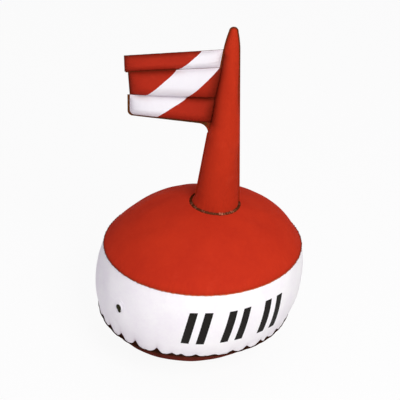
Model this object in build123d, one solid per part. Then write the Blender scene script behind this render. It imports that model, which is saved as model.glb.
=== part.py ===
"""Inflatable dive buoy: a round vinyl float with an inflated mast and a three tube flag.

Millimetres and degrees. +Z is up, the floor is z = 0, and x = y = 0 is the middle of the
float at half the height of its band. The soft float leans: each level of it is shifted
towards +X in proportion to its height. The flag flies towards -X. Directions round the
float are given as an azimuth, measured from -Y (the front) towards +X.
"""
import math
import os

from build123d import *

# Float: two round end panels welded to a side band
FLOAT_D = 400.0             # widest diameter, at the middle of the side band
BAND_H = 134.0              # height of the side band from seam to seam
BAND_BULGE = 10.0           # how far the band swells past the seams
DOME_RISE = 97.0            # height of an end panel that nothing presses on
FLOOR_SQUASH = 10.0         # how far the floor flattens the bottom panel
SIDE_LEAN = 0.11            # shift of the float towards +X for each millimetre of height
SEAM_T = 1.2                # thickness of the welded edge of panel and band
SEAM_LAP = 8.0              # width of that edge inside the seam
SEAM_PROUD = 1.5            # how far it stands out past the seam

# Vertical lap weld that closes the band, at the back
LAP_AZIMUTH = 150.0
LAP_W = 10.0
LAP_T = 0.6
LAP_END_GAP = 4.0           # clear height between the lap's ends and the seams

# Marks printed on the band: pairs of slanted bars
MARK_AZIMUTHS = [-0.5, 20.4, 42.0]
MARK_STROKE = 15.0          # width of a bar
MARK_GAP = 13.0             # space between the two bars of a pair
MARK_H = 68.0
MARK_SLANT = 8.0            # lean of the bars from upright
MARK_T = 0.3

# Mast: an inflated spike that leans a little towards +X
MAST_X = 33.2               # where its axis meets the level of the float's top
MAST_Y = -13.7              # the foot stands a little in front of the middle
MAST_LEAN = 4.0
MAST_FOOT_R = 40.2
MAST_NECK_R = 12.0          # radius where the point begins
MAST_TAPER_H = 300.3        # length of the straight taper below the point
MAST_POINT_H = 36.5         # length of the point
MAST_TIP_R = 5.9            # radius of the round tip
MAST_SWELL = 0.6            # how far the point's sides swell past a straight line
MAST_ROOT_DEPTH = 25.0      # how far the foot is carried down before the float trims it
RING_W = 8.0                # width of the weld ring round the foot
RING_T = 1.6                # thickness of the weld ring

# Flat weld flange round mast and flag, two sheets thick
SHEET_T = 1.0
FLANGE_W = 2.5              # width outside the inflated parts
RIB_W = 3.0                 # width of the welds between the inflated parts
CROTCH_R = 14.0             # rounding where the flag's lower edge meets the mast

# Flag: drop of its weld lines below the start of the mast's point
FLAG_LINES = [
    # at the mast, at the fly end
    (3.5, 28.6),
    (36.7, 58.3),
    (95.7, 101.0),
    (146.5, 141.2),
]
FLAG_TUBES = [
    # reach from the mast's axis, half thickness
    (185.0, 10.5),
    (173.0, 17.0),
    (174.0, 16.0),
]
TUBE_NAMES = ["flag_upper_tube", "flag_middle_tube", "flag_lower_tube"]
TUBE_END_L = 34.0           # length over which a tube swells from its closed end
TUBE_END_STEPS = 4          # sections in that length

# White stripe: it falls at 45 degrees from the mast towards the fly end
STRIPE_RISE = 42.0          # height above the mast's taper where its upper edge meets the axis
STRIPE_W = 45.8             # width square to its edges

# Push-in valve on the band
VALVE_AZIMUTH = -46.3
VALVE_RISE = 5.0            # height above the middle of the band
VALVE_DISC_R = 14.0
VALVE_DISC_T = 0.8
STEM_R = 7.0
STEM_DEPTH = 10.0           # length inside the band
STEM_PROUD = 2.0            # length outside the band
PLUG_SHANK_R = 3.0
PLUG_FIT = 0.1              # radial clearance of the shank in the stem
PLUG_SEAT_GAP = 0.3         # clearance under the plug's head
PLUG_HEAD_R = 5.5
PLUG_HEAD_T = 1.8
PLUG_TAB_REACH = 10.5       # from the plug's axis to the end of its pull tab
PLUG_TAB_W = 6.0
PLUG_TAB_T = 1.4
PLUG_TAB_TURN = 15.0        # lean of the tab from straight down
PLUG_DEPTH = 8.0            # length of the shank inside the band

# Line fixing under the float
PATCH_R = 30.0
PATCH_T = 1.0
TAB_X = 24.0                # length of the webbing tab along X
TAB_Y = 18.0                # width of the tab along Y
TAB_T = 1.0
LOOP_BITE = 0.6             # how far the loop sinks into the tab
WIRE_R = 1.5                # ring wire radius
WIRE_GAP = 0.3              # clearance of the ring's bar in its loop
LOOP_FLOOR_GAP = 0.2        # height of the loop above the floor
RING_HALF_W = 12.5          # half width of the ring, to the middle of its wire
RING_CORNER_R = 3.0
RING_FLOOR_GAP = 0.3        # height of the ring's far end above the floor
DIMPLE_GAP = 1.0            # room round the patch in the hollow it sits in
DIMPLE_SLOPE = 6.0          # width of the hollow's sloping side

# Sizes worked out from the ones above
FLOAT_R = FLOAT_D / 2
SEAM_R = FLOAT_R - BAND_BULGE
LOWER_SEAM_Z = DOME_RISE - FLOOR_SQUASH
UPPER_SEAM_Z = LOWER_SEAM_Z + BAND_H
MID_Z = LOWER_SEAM_Z + BAND_H / 2
TOP_Z = UPPER_SEAM_Z + DOME_RISE
DOME_R = (SEAM_R ** 2 + DOME_RISE ** 2) / (2 * DOME_RISE)
FOOT_X = -SIDE_LEAN * MID_Z
STRIPE_DROP = STRIPE_W * math.sqrt(2) - STRIPE_RISE
LOOP_IN_R = WIRE_R + WIRE_GAP
LOOP_OUT_R = LOOP_IN_R + TAB_T
LOOP_Z = LOOP_OUT_R + LOOP_FLOOR_GAP
TAB_Z = LOOP_Z + LOOP_OUT_R - LOOP_BITE
PATCH_Z = TAB_Z + TAB_T
DIMPLE_Z = PATCH_Z + PATCH_T
RING_REACH = RING_CORNER_R + RING_HALF_W
RING_SAG = math.degrees(math.asin((LOOP_Z - WIRE_R - RING_FLOOR_GAP) / RING_REACH))

MAST_PLACE = Pos(MAST_X, MAST_Y, TOP_Z) * Rot(0, MAST_LEAN, 0)
FOOT_PLACE = Pos(FOOT_X, 0, 0)
VALVE_PLACE = (
    Pos(SIDE_LEAN * VALVE_RISE, 0, MID_Z + VALVE_RISE)
    * Rot(0, 0, VALVE_AZIMUTH - 90)
    * Pos(FLOAT_R, 0, 0)
)
LEAN = Matrix([
    [1, 0, SIDE_LEAN, FOOT_X],
    [0, 1, 0, 0],
    [0, 0, 1, 0],
])


def lean(shape):
    """Shift every level of an upright float's piece sideways, in proportion to its height."""
    return shape.transform_geometry(LEAN)


def spin(edges):
    """Turn a closed outline in the XZ plane about the Z axis."""
    return revolve(make_face(edges), Axis.Z)


def dome_point(radius):
    """Point of an end panel's round side, as its distance from the axis and its drop."""
    return DOME_R - math.sqrt(DOME_R ** 2 - radius ** 2)


def seam(height):
    """Welded edge where an end panel meets the band."""
    ring = Cylinder(SEAM_R + SEAM_PROUD, SEAM_T) - Cylinder(SEAM_R - SEAM_LAP, SEAM_T)
    return Pos(FOOT_X + SIDE_LEAN * height, 0, height) * ring


def top_panel():
    """Round upper end panel."""
    half = SEAM_R / 2
    side = ThreePointArc(
        (SEAM_R, 0, UPPER_SEAM_Z), (half, 0, TOP_Z - dome_point(half)), (0, 0, TOP_Z)
    )
    axis = Line((0, 0, TOP_Z), (0, 0, UPPER_SEAM_Z))
    base = Line((0, 0, UPPER_SEAM_Z), (SEAM_R, 0, UPPER_SEAM_Z))
    return lean(spin([side, axis, base])) - seam(UPPER_SEAM_Z)


def bottom_panel():
    """Lower end panel: flat where it stands, with a shallow hollow for the line fixing."""
    half = SEAM_R / 2
    low = -FLOOR_SQUASH
    side = ThreePointArc((0, 0, low), (half, 0, low + dome_point(half)), (SEAM_R, 0, LOWER_SEAM_Z))
    rest = Polyline((SEAM_R, 0, LOWER_SEAM_Z), (0, 0, LOWER_SEAM_Z), (0, 0, low))
    floor = Pos(0, 0, low) * Box(2 * FLOAT_D, FLOAT_D, 2 * FLOOR_SQUASH)
    inner = PATCH_R + DIMPLE_GAP
    outer = inner + DIMPLE_SLOPE
    outline = Polyline((0, 0, 0), (0, 0, DIMPLE_Z), (inner, 0, DIMPLE_Z), (outer, 0, 0), close=True)
    return lean(spin([side, rest])) - floor - FOOT_PLACE * spin([outline]) - seam(LOWER_SEAM_Z)


def band_blank(grow=0.0):
    """Upright swollen side band, or the same with its skin grown outwards."""
    radius = SEAM_R + grow
    skin = ThreePointArc(
        (radius, 0, LOWER_SEAM_Z), (FLOAT_R + grow, 0, MID_Z), (radius, 0, UPPER_SEAM_Z)
    )
    rest = Polyline(
        (radius, 0, UPPER_SEAM_Z), (0, 0, UPPER_SEAM_Z), (0, 0, LOWER_SEAM_Z), (radius, 0, LOWER_SEAM_Z)
    )
    return spin([skin, rest])


def side_band():
    """Side band with its seats for the seams and the pocket for the valve."""
    pocket = valve_rod(STEM_R, -STEM_DEPTH, STEM_PROUD)
    return lean(band_blank()) - seam(LOWER_SEAM_Z) - seam(UPPER_SEAM_Z) - pocket


def around(azimuth):
    """Turn about the float's axis that takes +X to an azimuth."""
    return Rot(0, 0, azimuth - 90)


def band_lap():
    """Lap weld that follows the band's skin."""
    height = BAND_H - 2 * (LAP_END_GAP + SEAM_T / 2)
    block = around(LAP_AZIMUTH) * Pos(FLOAT_R, 0, MID_Z) * Box(4 * BAND_BULGE, LAP_W, height)
    return lean((band_blank(LAP_T) - band_blank()) & block)


def print_marks():
    """Printed bars that follow the band's skin, in pairs."""
    skin = band_blank(MARK_T) - band_blank()
    slope = math.tan(math.radians(MARK_SLANT)) * MARK_H / 2
    bars = []
    for azimuth in MARK_AZIMUTHS:
        for side in (-1, 1):
            middle = side * (MARK_STROKE + MARK_GAP) / 2
            corners = [
                (0, middle + share * MARK_STROKE / 2 + up * slope, up * MARK_H / 2)
                for share, up in ((-1, -1), (1, -1), (1, 1), (-1, 1))
            ]
            block = extrude(make_face(Polyline(*corners, close=True)), BAND_BULGE, dir=(1, 0, 0), both=True)
            bars += (skin & around(azimuth) * Pos(FLOAT_R, 0, MID_Z) * block).solids()
    return lean(Compound(bars))


def valve_rod(radius, start, end):
    """Rod on the valve's axis, from start to end measured outwards from the band's skin."""
    rod = Rot(0, 90, 0) * Cylinder(radius, end - start)
    return VALVE_PLACE * Pos((start + end) / 2, 0, 0) * rod


def valve_disc():
    """Welded disc that carries the valve, bent to the band's skin."""
    blank = valve_rod(VALVE_DISC_R, -STEM_DEPTH, STEM_DEPTH) & lean(band_blank(VALVE_DISC_T))
    return blank - lean(band_blank()) - valve_rod(STEM_R, -STEM_DEPTH, STEM_PROUD)


def valve_stem():
    """Short tube that the plug pushes into."""
    bore = valve_rod(PLUG_SHANK_R + PLUG_FIT, -STEM_DEPTH, STEM_PROUD)
    return valve_rod(STEM_R, -STEM_DEPTH, STEM_PROUD) - bore


def valve_plug():
    """Plug with a round head and a pull tab."""
    head_low = STEM_PROUD + PLUG_SEAT_GAP
    head_high = head_low + PLUG_HEAD_T
    shank = valve_rod(PLUG_SHANK_R, -PLUG_DEPTH, head_high)
    head = valve_rod(PLUG_HEAD_R, head_low, head_high)
    length = PLUG_TAB_REACH - PLUG_TAB_W / 2
    tab = Pos(0, 0, -length / 2) * Box(PLUG_TAB_T, PLUG_TAB_W, length)
    tab += Pos(0, 0, -length) * Rot(0, 90, 0) * Cylinder(PLUG_TAB_W / 2, PLUG_TAB_T)
    tab = Pos(head_high - PLUG_TAB_T / 2, 0, 0) * Rot(PLUG_TAB_TURN, 0, 0) * tab
    return shank + head + VALVE_PLACE * tab


def mast_radius(height):
    """Radius of the mast's straight taper at a height along its axis."""
    return MAST_FOOT_R + (MAST_NECK_R - MAST_FOOT_R) * height / MAST_TAPER_H


def mast_half_outline(grow):
    """Half outline of the mast as points: foot, neck, point's middle, tip, tip's side and top."""
    tip_h = MAST_TAPER_H + MAST_POINT_H - MAST_TIP_R
    tip_r = MAST_TIP_R + grow
    middle_r = (MAST_NECK_R + MAST_TIP_R) / 2 + MAST_SWELL
    return [
        (mast_radius(-MAST_ROOT_DEPTH) + grow, -MAST_ROOT_DEPTH),
        (MAST_NECK_R + grow, MAST_TAPER_H),
        (middle_r + grow, (MAST_TAPER_H + tip_h) / 2),
        (tip_r, tip_h),
        (tip_r * math.sqrt(0.5), tip_h + tip_r * math.sqrt(0.5)),
        (0.0, tip_h + tip_r),
    ]


def mast_edges(grow, side):
    """The same half outline as edges, on the side +1 or -1 of the mast's axis."""
    foot, neck, middle, tip, cap, top = [(side * r, 0, h) for r, h in mast_half_outline(grow)]
    return [Line(foot, neck), ThreePointArc(neck, middle, tip), ThreePointArc(tip, cap, top)]


def mast_blank():
    """Inflated mast before the float trims its foot, on its own upright axis."""
    foot_r, foot_h = mast_half_outline(0.0)[0]
    axis = Polyline((0, 0, MAST_TAPER_H + MAST_POINT_H), (0, 0, foot_h), (foot_r, 0, foot_h))
    return spin(mast_edges(0.0, 1) + [axis])


def base_ring():
    """Weld ring that follows the float round the mast's foot."""
    centre = Pos(0, 0, TOP_Z - DOME_R)
    cap = Pos(0, 0, TOP_Z) * Box(FLOAT_R, FLOAT_R, 2 * MAST_ROOT_DEPTH)
    shell = (centre * Sphere(DOME_R + RING_T) - centre * Sphere(DOME_R)) & cap
    post_r = mast_radius(0) + RING_W
    return lean(shell) & MAST_PLACE * Cylinder(post_r, 4 * MAST_ROOT_DEPTH)


def flag_line(index):
    """Heights of a flag weld line along the mast's axis, at the mast and at the fly end."""
    return tuple(MAST_TAPER_H - drop for drop in FLAG_LINES[index])


def tube_corners(index):
    """Corners of one tube's outline: lower root, upper root, upper fly and lower fly."""
    last = len(FLAG_TUBES) - 1
    reach = FLAG_TUBES[index][0] - FLANGE_W
    above = FLANGE_W if index == 0 else RIB_W / 2
    below = FLANGE_W if index == last else RIB_W / 2
    upper_root, upper_fly = flag_line(index)
    lower_root, lower_fly = flag_line(index + 1)
    return [
        (-mast_radius(lower_root) - RIB_W, lower_root + below),
        (-mast_radius(upper_root) - RIB_W, upper_root - above),
        (-reach, upper_fly - above),
        (-reach, lower_fly + below),
    ]


def between(start, end, share):
    """Point a share of the way from start to end."""
    return tuple(a + (b - a) * share for a, b in zip(start, end))


def lens(low, high, half):
    """Section of an inflated tube: two arcs that meet at edges one flange thick."""
    edge = SHEET_T / 2
    middle = between(low, high, 0.5)

    def at(point, y):
        return (point[0], y, point[1])

    half = max(half, edge * 1.2)
    return make_face([
        ThreePointArc(at(low, edge), at(middle, half), at(high, edge)),
        Line(at(high, edge), at(high, -edge)),
        ThreePointArc(at(high, -edge), at(middle, -half), at(low, -edge)),
        Line(at(low, -edge), at(low, edge)),
    ])


def flag_tube(index):
    """One inflated flag tube, closed flat at the mast and at the fly end."""
    low_root, high_root, high_fly, low_fly = tube_corners(index)
    length = high_root[0] - high_fly[0]
    stations = []
    for step in range(TUBE_END_STEPS):
        way = (step / (TUBE_END_STEPS - 1)) ** 1.5
        half = FLAG_TUBES[index][1] * math.sqrt(1 - (1 - way) ** 2)
        stations.append((way * TUBE_END_L / length, half))
    stations += [(1 - share, half) for share, half in reversed(stations)]
    sections = [
        lens(between(low_root, low_fly, share), between(high_root, high_fly, share), half)
        for share, half in stations
    ]
    return loft(sections, ruled=True)


def half_space(offset, above):
    """Everything above or below the 45 degree plane height = x + offset."""
    size = 3 * FLOAT_D
    block = Pos(0, 0, size / 2 if above else -size / 2) * Box(2 * size, size, size)
    return Pos(0, 0, offset) * Rot(0, -45, 0) * block


def flag_parts():
    """Coloured tubes and the white stripe, cut apart along the stripe's edges."""
    below_top = half_space(MAST_TAPER_H + STRIPE_RISE, above=False)
    above_bottom = half_space(MAST_TAPER_H - STRIPE_DROP, above=True)
    parts = {}
    stripe = []
    for index, name in enumerate(TUBE_NAMES):
        tube = flag_tube(index)
        last = index == len(FLAG_TUBES) - 1
        white = tube & above_bottom if last else tube & above_bottom & below_top
        stripe += white.solids()
        parts[name] = Compound([MAST_PLACE * solid for solid in (tube - white).solids()])
    parts["flag_stripe"] = Compound([MAST_PLACE * solid for solid in stripe])
    return parts


def flag_outline():
    """Flat outline of the flag, with a rounded inner corner under its lower edge."""
    points = []
    for index, (reach, _) in enumerate(FLAG_TUBES):
        points += [(-reach, flag_line(index)[1]), (-reach, flag_line(index + 1)[1])]
    root_top, root_low = flag_line(0)[0], flag_line(len(FLAG_TUBES))[0]
    foot_h = root_low - CROTCH_R
    outline = [(0, root_top)] + points + [
        (-mast_radius(root_low) - CROTCH_R, root_low), (-mast_radius(foot_h), foot_h), (0, foot_h)
    ]
    return [(x, 0, h) for x, h in outline]


def weld_flange(mast, ring, panel):
    """Flat flange round mast and flag, with the welds between the tubes left in."""
    right, left = mast_edges(FLANGE_W, 1), mast_edges(FLANGE_W, -1)
    foot = Line(right[0] @ 0, left[0] @ 0)
    sheet = make_face(right + left + [foot]) + make_face(Polyline(*flag_outline(), close=True))
    plate = extrude(sheet, SHEET_T / 2, dir=(0, 1, 0), both=True)
    for index in range(len(FLAG_TUBES)):
        corners = [(x, 0, h) for x, h in tube_corners(index)]
        window = make_face(Polyline(*corners, close=True))
        plate -= extrude(window, SHEET_T, dir=(0, 1, 0), both=True)
    return MAST_PLACE * plate - mast - ring - panel


def patch():
    """Round patch welded into the hollow under the float."""
    return FOOT_PLACE * Pos(0, 0, PATCH_Z + PATCH_T / 2) * Cylinder(PATCH_R, PATCH_T)


def loop_rod(radius, length):
    """Rod along the hinge line of the ring."""
    return FOOT_PLACE * Pos(0, 0, LOOP_Z) * Rot(90, 0, 0) * Cylinder(radius, length)


def line_tab():
    """Webbing tab welded flat under the patch."""
    plate = FOOT_PLACE * Pos(0, 0, TAB_Z + TAB_T / 2) * Box(TAB_X, TAB_Y, TAB_T)
    return plate - loop_rod(LOOP_OUT_R, 2 * TAB_Y)


def line_loop():
    """Loop of the webbing round the ring's bar."""
    return loop_rod(LOOP_OUT_R, TAB_Y) - loop_rod(LOOP_IN_R, 2 * TAB_Y)


def line_ring():
    """D shaped wire ring that lies back on the floor, hinged on its straight bar."""
    half, corner = RING_HALF_W, RING_CORNER_R
    bar = half - corner
    bend = corner * (1 - math.sqrt(0.5))
    path = Wire([
        Line((0, -bar, 0), (0, bar, 0)),
        ThreePointArc((0, bar, 0), (bend, half - bend, 0), (corner, half, 0)),
        ThreePointArc((corner, half, 0), (corner + half, 0, 0), (corner, -half, 0)),
        ThreePointArc((corner, -half, 0), (bend, bend - half, 0), (0, -bar, 0)),
    ])
    ring = sweep(Plane.XZ * Circle(WIRE_R), path=path)
    return FOOT_PLACE * Pos(0, 0, LOOP_Z) * Rot(0, RING_SAG, 0) * ring


def build():
    """Every sub-part by its node name."""
    panel = top_panel()
    mast = MAST_PLACE * mast_blank() - panel
    ring = base_ring() - mast
    parts = {
        "top_panel": panel,
        "side_band": side_band(),
        "bottom_panel": bottom_panel(),
        "top_seam": seam(UPPER_SEAM_Z),
        "bottom_seam": seam(LOWER_SEAM_Z),
        "band_lap_weld": band_lap(),
        "print_marks": print_marks(),
        "mast": mast,
        "mast_base_ring": ring,
        "mast_weld_flange": weld_flange(mast, ring, panel),
        "valve_disc": valve_disc(),
        "valve_stem": valve_stem(),
        "valve_plug": valve_plug(),
        "bottom_patch": patch(),
        "line_tab": line_tab(),
        "line_loop": line_loop(),
        "line_ring": line_ring(),
    }
    parts.update(flag_parts())
    return parts


def main():
    os.makedirs("parts", exist_ok=True)
    for name, shape in build().items():
        export_step(shape, f"parts/{name}.step")


main()
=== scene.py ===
"""Looks of an inflatable dive buoy: welded vinyl film, printed marks, valve and line fixing.

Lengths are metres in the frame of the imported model. Directions round the float are given
as an azimuth, measured from -Y (the front) towards +X.
"""

import logging
import math
from dataclasses import dataclass, field
from enum import Enum
from typing import Any, Callable, Sequence

import bmesh
import bpy
import numpy as np
from mathutils import Matrix, Vector


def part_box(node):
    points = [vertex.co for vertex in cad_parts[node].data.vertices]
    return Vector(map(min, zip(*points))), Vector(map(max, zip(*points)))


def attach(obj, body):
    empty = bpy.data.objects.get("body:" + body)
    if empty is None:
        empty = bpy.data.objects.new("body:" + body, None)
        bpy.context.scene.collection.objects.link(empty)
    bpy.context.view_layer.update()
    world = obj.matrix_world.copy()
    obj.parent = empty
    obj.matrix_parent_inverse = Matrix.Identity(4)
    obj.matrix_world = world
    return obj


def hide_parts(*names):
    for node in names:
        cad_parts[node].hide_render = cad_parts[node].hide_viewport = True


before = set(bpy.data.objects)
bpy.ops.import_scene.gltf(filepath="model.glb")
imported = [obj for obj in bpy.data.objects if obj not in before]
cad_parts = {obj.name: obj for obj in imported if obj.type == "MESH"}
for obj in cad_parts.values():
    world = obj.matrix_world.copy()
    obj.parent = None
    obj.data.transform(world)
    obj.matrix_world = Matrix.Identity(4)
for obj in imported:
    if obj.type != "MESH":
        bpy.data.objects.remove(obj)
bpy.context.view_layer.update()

TAU = 2 * math.pi
FILM_T = 0.0004  # thickness of one sheet of film
TOUCH = 1e-6  # points closer than this are one point

log = logging.getLogger("dive_buoy")

Colour = tuple[float, float, float, float]
Spot = tuple[float, float, float]
Pair = tuple[float, float]


# Curves


def ease(value: np.ndarray) -> np.ndarray:
    """Smooth step: 0 below 0, 1 above 1, and 3v^2 - 2v^3 between."""
    share = np.clip(value, 0.0, 1.0)
    return share * share * (3 - 2 * share)


def crowd(count: int, ends: float) -> np.ndarray:
    """Shares from 0 to 1 that crowd towards both ends: a straight run mixed with half a cosine."""
    run = np.linspace(0.0, 1.0, count)
    return (1 - ends) * run + ends * (1 - np.cos(math.pi * run)) / 2


def hump(away: np.ndarray, width: Any) -> np.ndarray:
    """Bell curve, 1 in the middle: exp(-(away / width)^2)."""
    return np.exp(-((away / width) ** 2))


def between(first: Any, last: Any, share: Any, bow: float = 0.0) -> Any:
    """Value at a share of the way from first to last, plus a parabola that is bow high half way."""
    return first + (last - first) * share + 4 * bow * share * (1 - share)


def polar(radius: Any, angle: Any, height: Any) -> np.ndarray:
    """Points at a radius, an angle from +X towards +Y, and a height."""
    return np.stack(np.broadcast_arrays(radius * np.cos(angle), radius * np.sin(angle), height), -1)


def straight(start: Pair, stop: Pair, step: float = 0.003) -> np.ndarray:
    """Straight run of points about a step apart, without its last."""
    count = max(2, round(math.dist(start, stop) / step))
    return between(np.array(start), np.array(stop), np.linspace(0, 1, count, endpoint=False)[:, None])


def arc(centre: Pair, radius: float, turn: Pair, count: int = 14, endpoint: bool = False) -> np.ndarray:
    """Arc of points about a centre between two angles in degrees, with or without its last."""
    angle = np.radians(np.linspace(*turn, count, endpoint=endpoint))
    return np.array(centre) + radius * np.stack([np.cos(angle), np.sin(angle)], -1)


@dataclass(frozen=True)
class Fade:
    """Value that is highest at an edge and falls away from it: start * exp(-distance / length)."""

    start: float
    length: float

    def at(self, distance: np.ndarray) -> np.ndarray:
        """Value at a distance from the edge."""
        return self.start * np.exp(-distance / self.length)


@dataclass(frozen=True)
class Bell:
    """Hump at one azimuth of the float, such as slack film or a shade; place and width in degrees."""

    place: float
    width: float  # half width
    tall: float

    def at(self, azimuth: np.ndarray) -> np.ndarray:
        """Value at azimuths in radians, going round the float the shorter way."""
        away = (azimuth - math.radians(self.place) + math.pi) % TAU - math.pi
        return self.tall * hump(away, math.radians(self.width))


@dataclass(frozen=True)
class Gathers:
    """Puckers along a weld: bell curves at uneven steps, of which the highest counts."""

    count: int
    seed: int
    width: float  # half width of a bell, as a share of a step
    scatter: float = 0.3  # how far a bell may stray, as a share of a step
    uneven: float = 0.5  # how much weaker the weakest may be
    length: float = TAU  # length of the whole run
    closed: bool = True  # whether the run meets its own start

    def depth(self, along: np.ndarray) -> np.ndarray:
        """Depth of the puckers.

        Args:
            along: places along the weld.

        Returns:
            Depths from 0 to 1.
        """
        draw = np.random.default_rng(self.seed)
        step = self.length / self.count
        places = (np.arange(self.count) + 0.5 + draw.uniform(-self.scatter, self.scatter, self.count)) * step
        strength = draw.uniform(1 - self.uneven, 1.0, self.count)
        away = np.asarray(along)[..., None] - places
        if self.closed:
            away = (away + self.length / 2) % self.length - self.length / 2
        return (strength * hump(away, self.width * step)).max(-1)


@dataclass(frozen=True)
class Notches:
    """Deep puckers at listed places, in degrees of azimuth, each with its strength."""

    places: tuple[Pair, ...]
    width: float  # half width at the weld, in degrees
    point: float = 1.6  # below 2 a notch is more pointed than a bell curve

    def depth(self, azimuth: np.ndarray, spread: Any = 1.0) -> np.ndarray:
        """Depth of the deepest notch near: strength * exp(-|away / width|^point).

        Args:
            azimuth: azimuths in radians.
            spread: how much wider the notches are there.

        Returns:
            Depths, about 0 to 1.
        """
        places, strength = np.array(self.places).T
        away = (np.degrees(azimuth)[..., None] - places + 180) % 360 - 180
        width = np.asarray(self.width * spread)[..., None]
        return (strength * np.exp(-np.abs(away / width) ** self.point)).max(-1)


@dataclass(frozen=True)
class Dents:
    """Shallow dents of slack film: the mean of cosine waves that close round the axis."""

    seed: int
    waves: int = 10
    turns: tuple[int, int] = (3, 16)  # waves in one turn
    climb: Pair = (-50.0, 50.0)  # phase for each metre of height

    def height(self, angle: np.ndarray, along: np.ndarray) -> np.ndarray:
        """Relief of the dents.

        Args:
            angle: angles round the axis in radians.
            along: places along the axis.

        Returns:
            Heights, about -1 to 1.
        """
        draw = np.random.default_rng(self.seed)
        turns = draw.integers(self.turns[0], self.turns[1], self.waves)
        climb = draw.uniform(*self.climb, self.waves)
        phase = draw.uniform(0, TAU, self.waves)
        waves = np.cos(np.asarray(angle)[..., None] * turns + np.asarray(along)[..., None] * climb + phase)
        return waves.sum(-1) / math.sqrt(self.waves)


# Meshes


@dataclass(frozen=True)
class Surface:
    """Points and faces of a mesh, and the values kept at its points by their attribute's name."""

    points: np.ndarray
    faces: np.ndarray
    marks: dict[str, np.ndarray] = field(default_factory=dict)

    def moved(self, move: Callable[[np.ndarray], np.ndarray]) -> "Surface":
        """The same surface with its points moved."""
        return Surface(move(self.points), self.faces, self.marks)


def grid_faces(rows: int, cols: int, start: int = 0, wrap: bool = False) -> np.ndarray:
    """Quads of a grid of points kept row by row.

    Args:
        rows: number of rows of points.
        cols: number of points in a row.
        start: index of the first point.
        wrap: whether the last column joins the first.

    Returns:
        Point indices, four to a face.
    """
    across = cols if wrap else cols - 1
    row, col = np.meshgrid(np.arange(rows - 1), np.arange(across), indexing="ij")
    left = start + row * cols
    right = (col + 1) % cols
    return np.stack([left + col, left + right, left + cols + right, left + cols + col], -1).reshape(-1, 4)


def slab(front: np.ndarray, back: np.ndarray, **marks: tuple[np.ndarray, np.ndarray]) -> Surface:
    """Closed shell between two grids of the same size: both grids and a wall along each border.

    Args:
        front: points, rows x cols x 3.
        back: the same number of points on the other side.
        marks: values at the front's and at the back's points.

    Returns:
        The shell.
    """
    rows, cols = front.shape[:2]
    ids = np.arange(rows * cols).reshape(rows, cols)
    border = np.concatenate([ids[0, :], ids[1:, -1], ids[-1, -2::-1], ids[-2:0:-1, 0]])
    other = border + rows * cols
    walls = np.stack([border, np.roll(border, -1), np.roll(other, -1), other], -1)
    faces = [grid_faces(rows, cols)[:, ::-1], grid_faces(rows, cols, start=rows * cols), walls]
    points = np.concatenate([front.reshape(-1, 3), back.reshape(-1, 3)])
    values = {key: np.concatenate([side.ravel() for side in sides]) for key, sides in marks.items()}
    return Surface(points, np.concatenate(faces), values)


def wrapped(rings: np.ndarray, closed: bool = False, **marks: np.ndarray) -> Surface:
    """Rings of points joined in order, each to the next.

    Args:
        rings: rings x points x 3.
        closed: whether the last ring joins the first, as round a closed section.
        marks: values at the points, ring by ring.

    Returns:
        The surface.
    """
    if closed:
        rings = np.concatenate([rings, rings[:1]])
        marks = {key: np.concatenate([values, values[:1]]) for key, values in marks.items()}
    faces = grid_faces(*rings.shape[:2], wrap=True)
    return Surface(rings.reshape(-1, 3), faces, {key: values.ravel() for key, values in marks.items()})


def joined(parts: Sequence[Surface]) -> Surface:
    """Several surfaces as one; marks are kept where every part has them.

    Args:
        parts: the surfaces.

    Returns:
        The whole.
    """
    starts = np.cumsum([0] + [len(part.points) for part in parts[:-1]])
    keys = set.intersection(*(set(part.marks) for part in parts))
    return Surface(
        np.concatenate([part.points for part in parts]),
        np.concatenate([part.faces + start for part, start in zip(parts, starts)]),
        {key: np.concatenate([part.marks[key] for part in parts]) for key in keys},
    )


def new_piece(name: str, surface: Surface, crease: float) -> bpy.types.Object:
    """Mesh object from a surface, closed, facing outwards and shaded smooth.

    Args:
        name: name of the piece.
        surface: its points, faces and marks.
        crease: angle in degrees past which an edge is sharp.

    Returns:
        The new object, at the origin.
    """
    mesh = bpy.data.meshes.new(name)
    mesh.from_pydata(surface.points.tolist(), [], surface.faces.tolist())
    for key, values in surface.marks.items():
        layer = mesh.attributes.new(key, "FLOAT", "POINT")
        layer.data.foreach_set("value", values.astype(np.float32))
    work = bmesh.new()
    work.from_mesh(mesh)
    bmesh.ops.remove_doubles(work, verts=work.verts, dist=TOUCH)
    bmesh.ops.recalc_face_normals(work, faces=work.faces)
    work.to_mesh(mesh)
    work.free()
    mesh.shade_smooth()
    mesh.set_sharp_from_angle(angle=math.radians(crease))
    piece = bpy.data.objects.new(name, mesh)
    bpy.context.scene.collection.objects.link(piece)
    log.info("%s: %d faces", name, len(mesh.polygons))
    return piece


# Node trees


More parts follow.
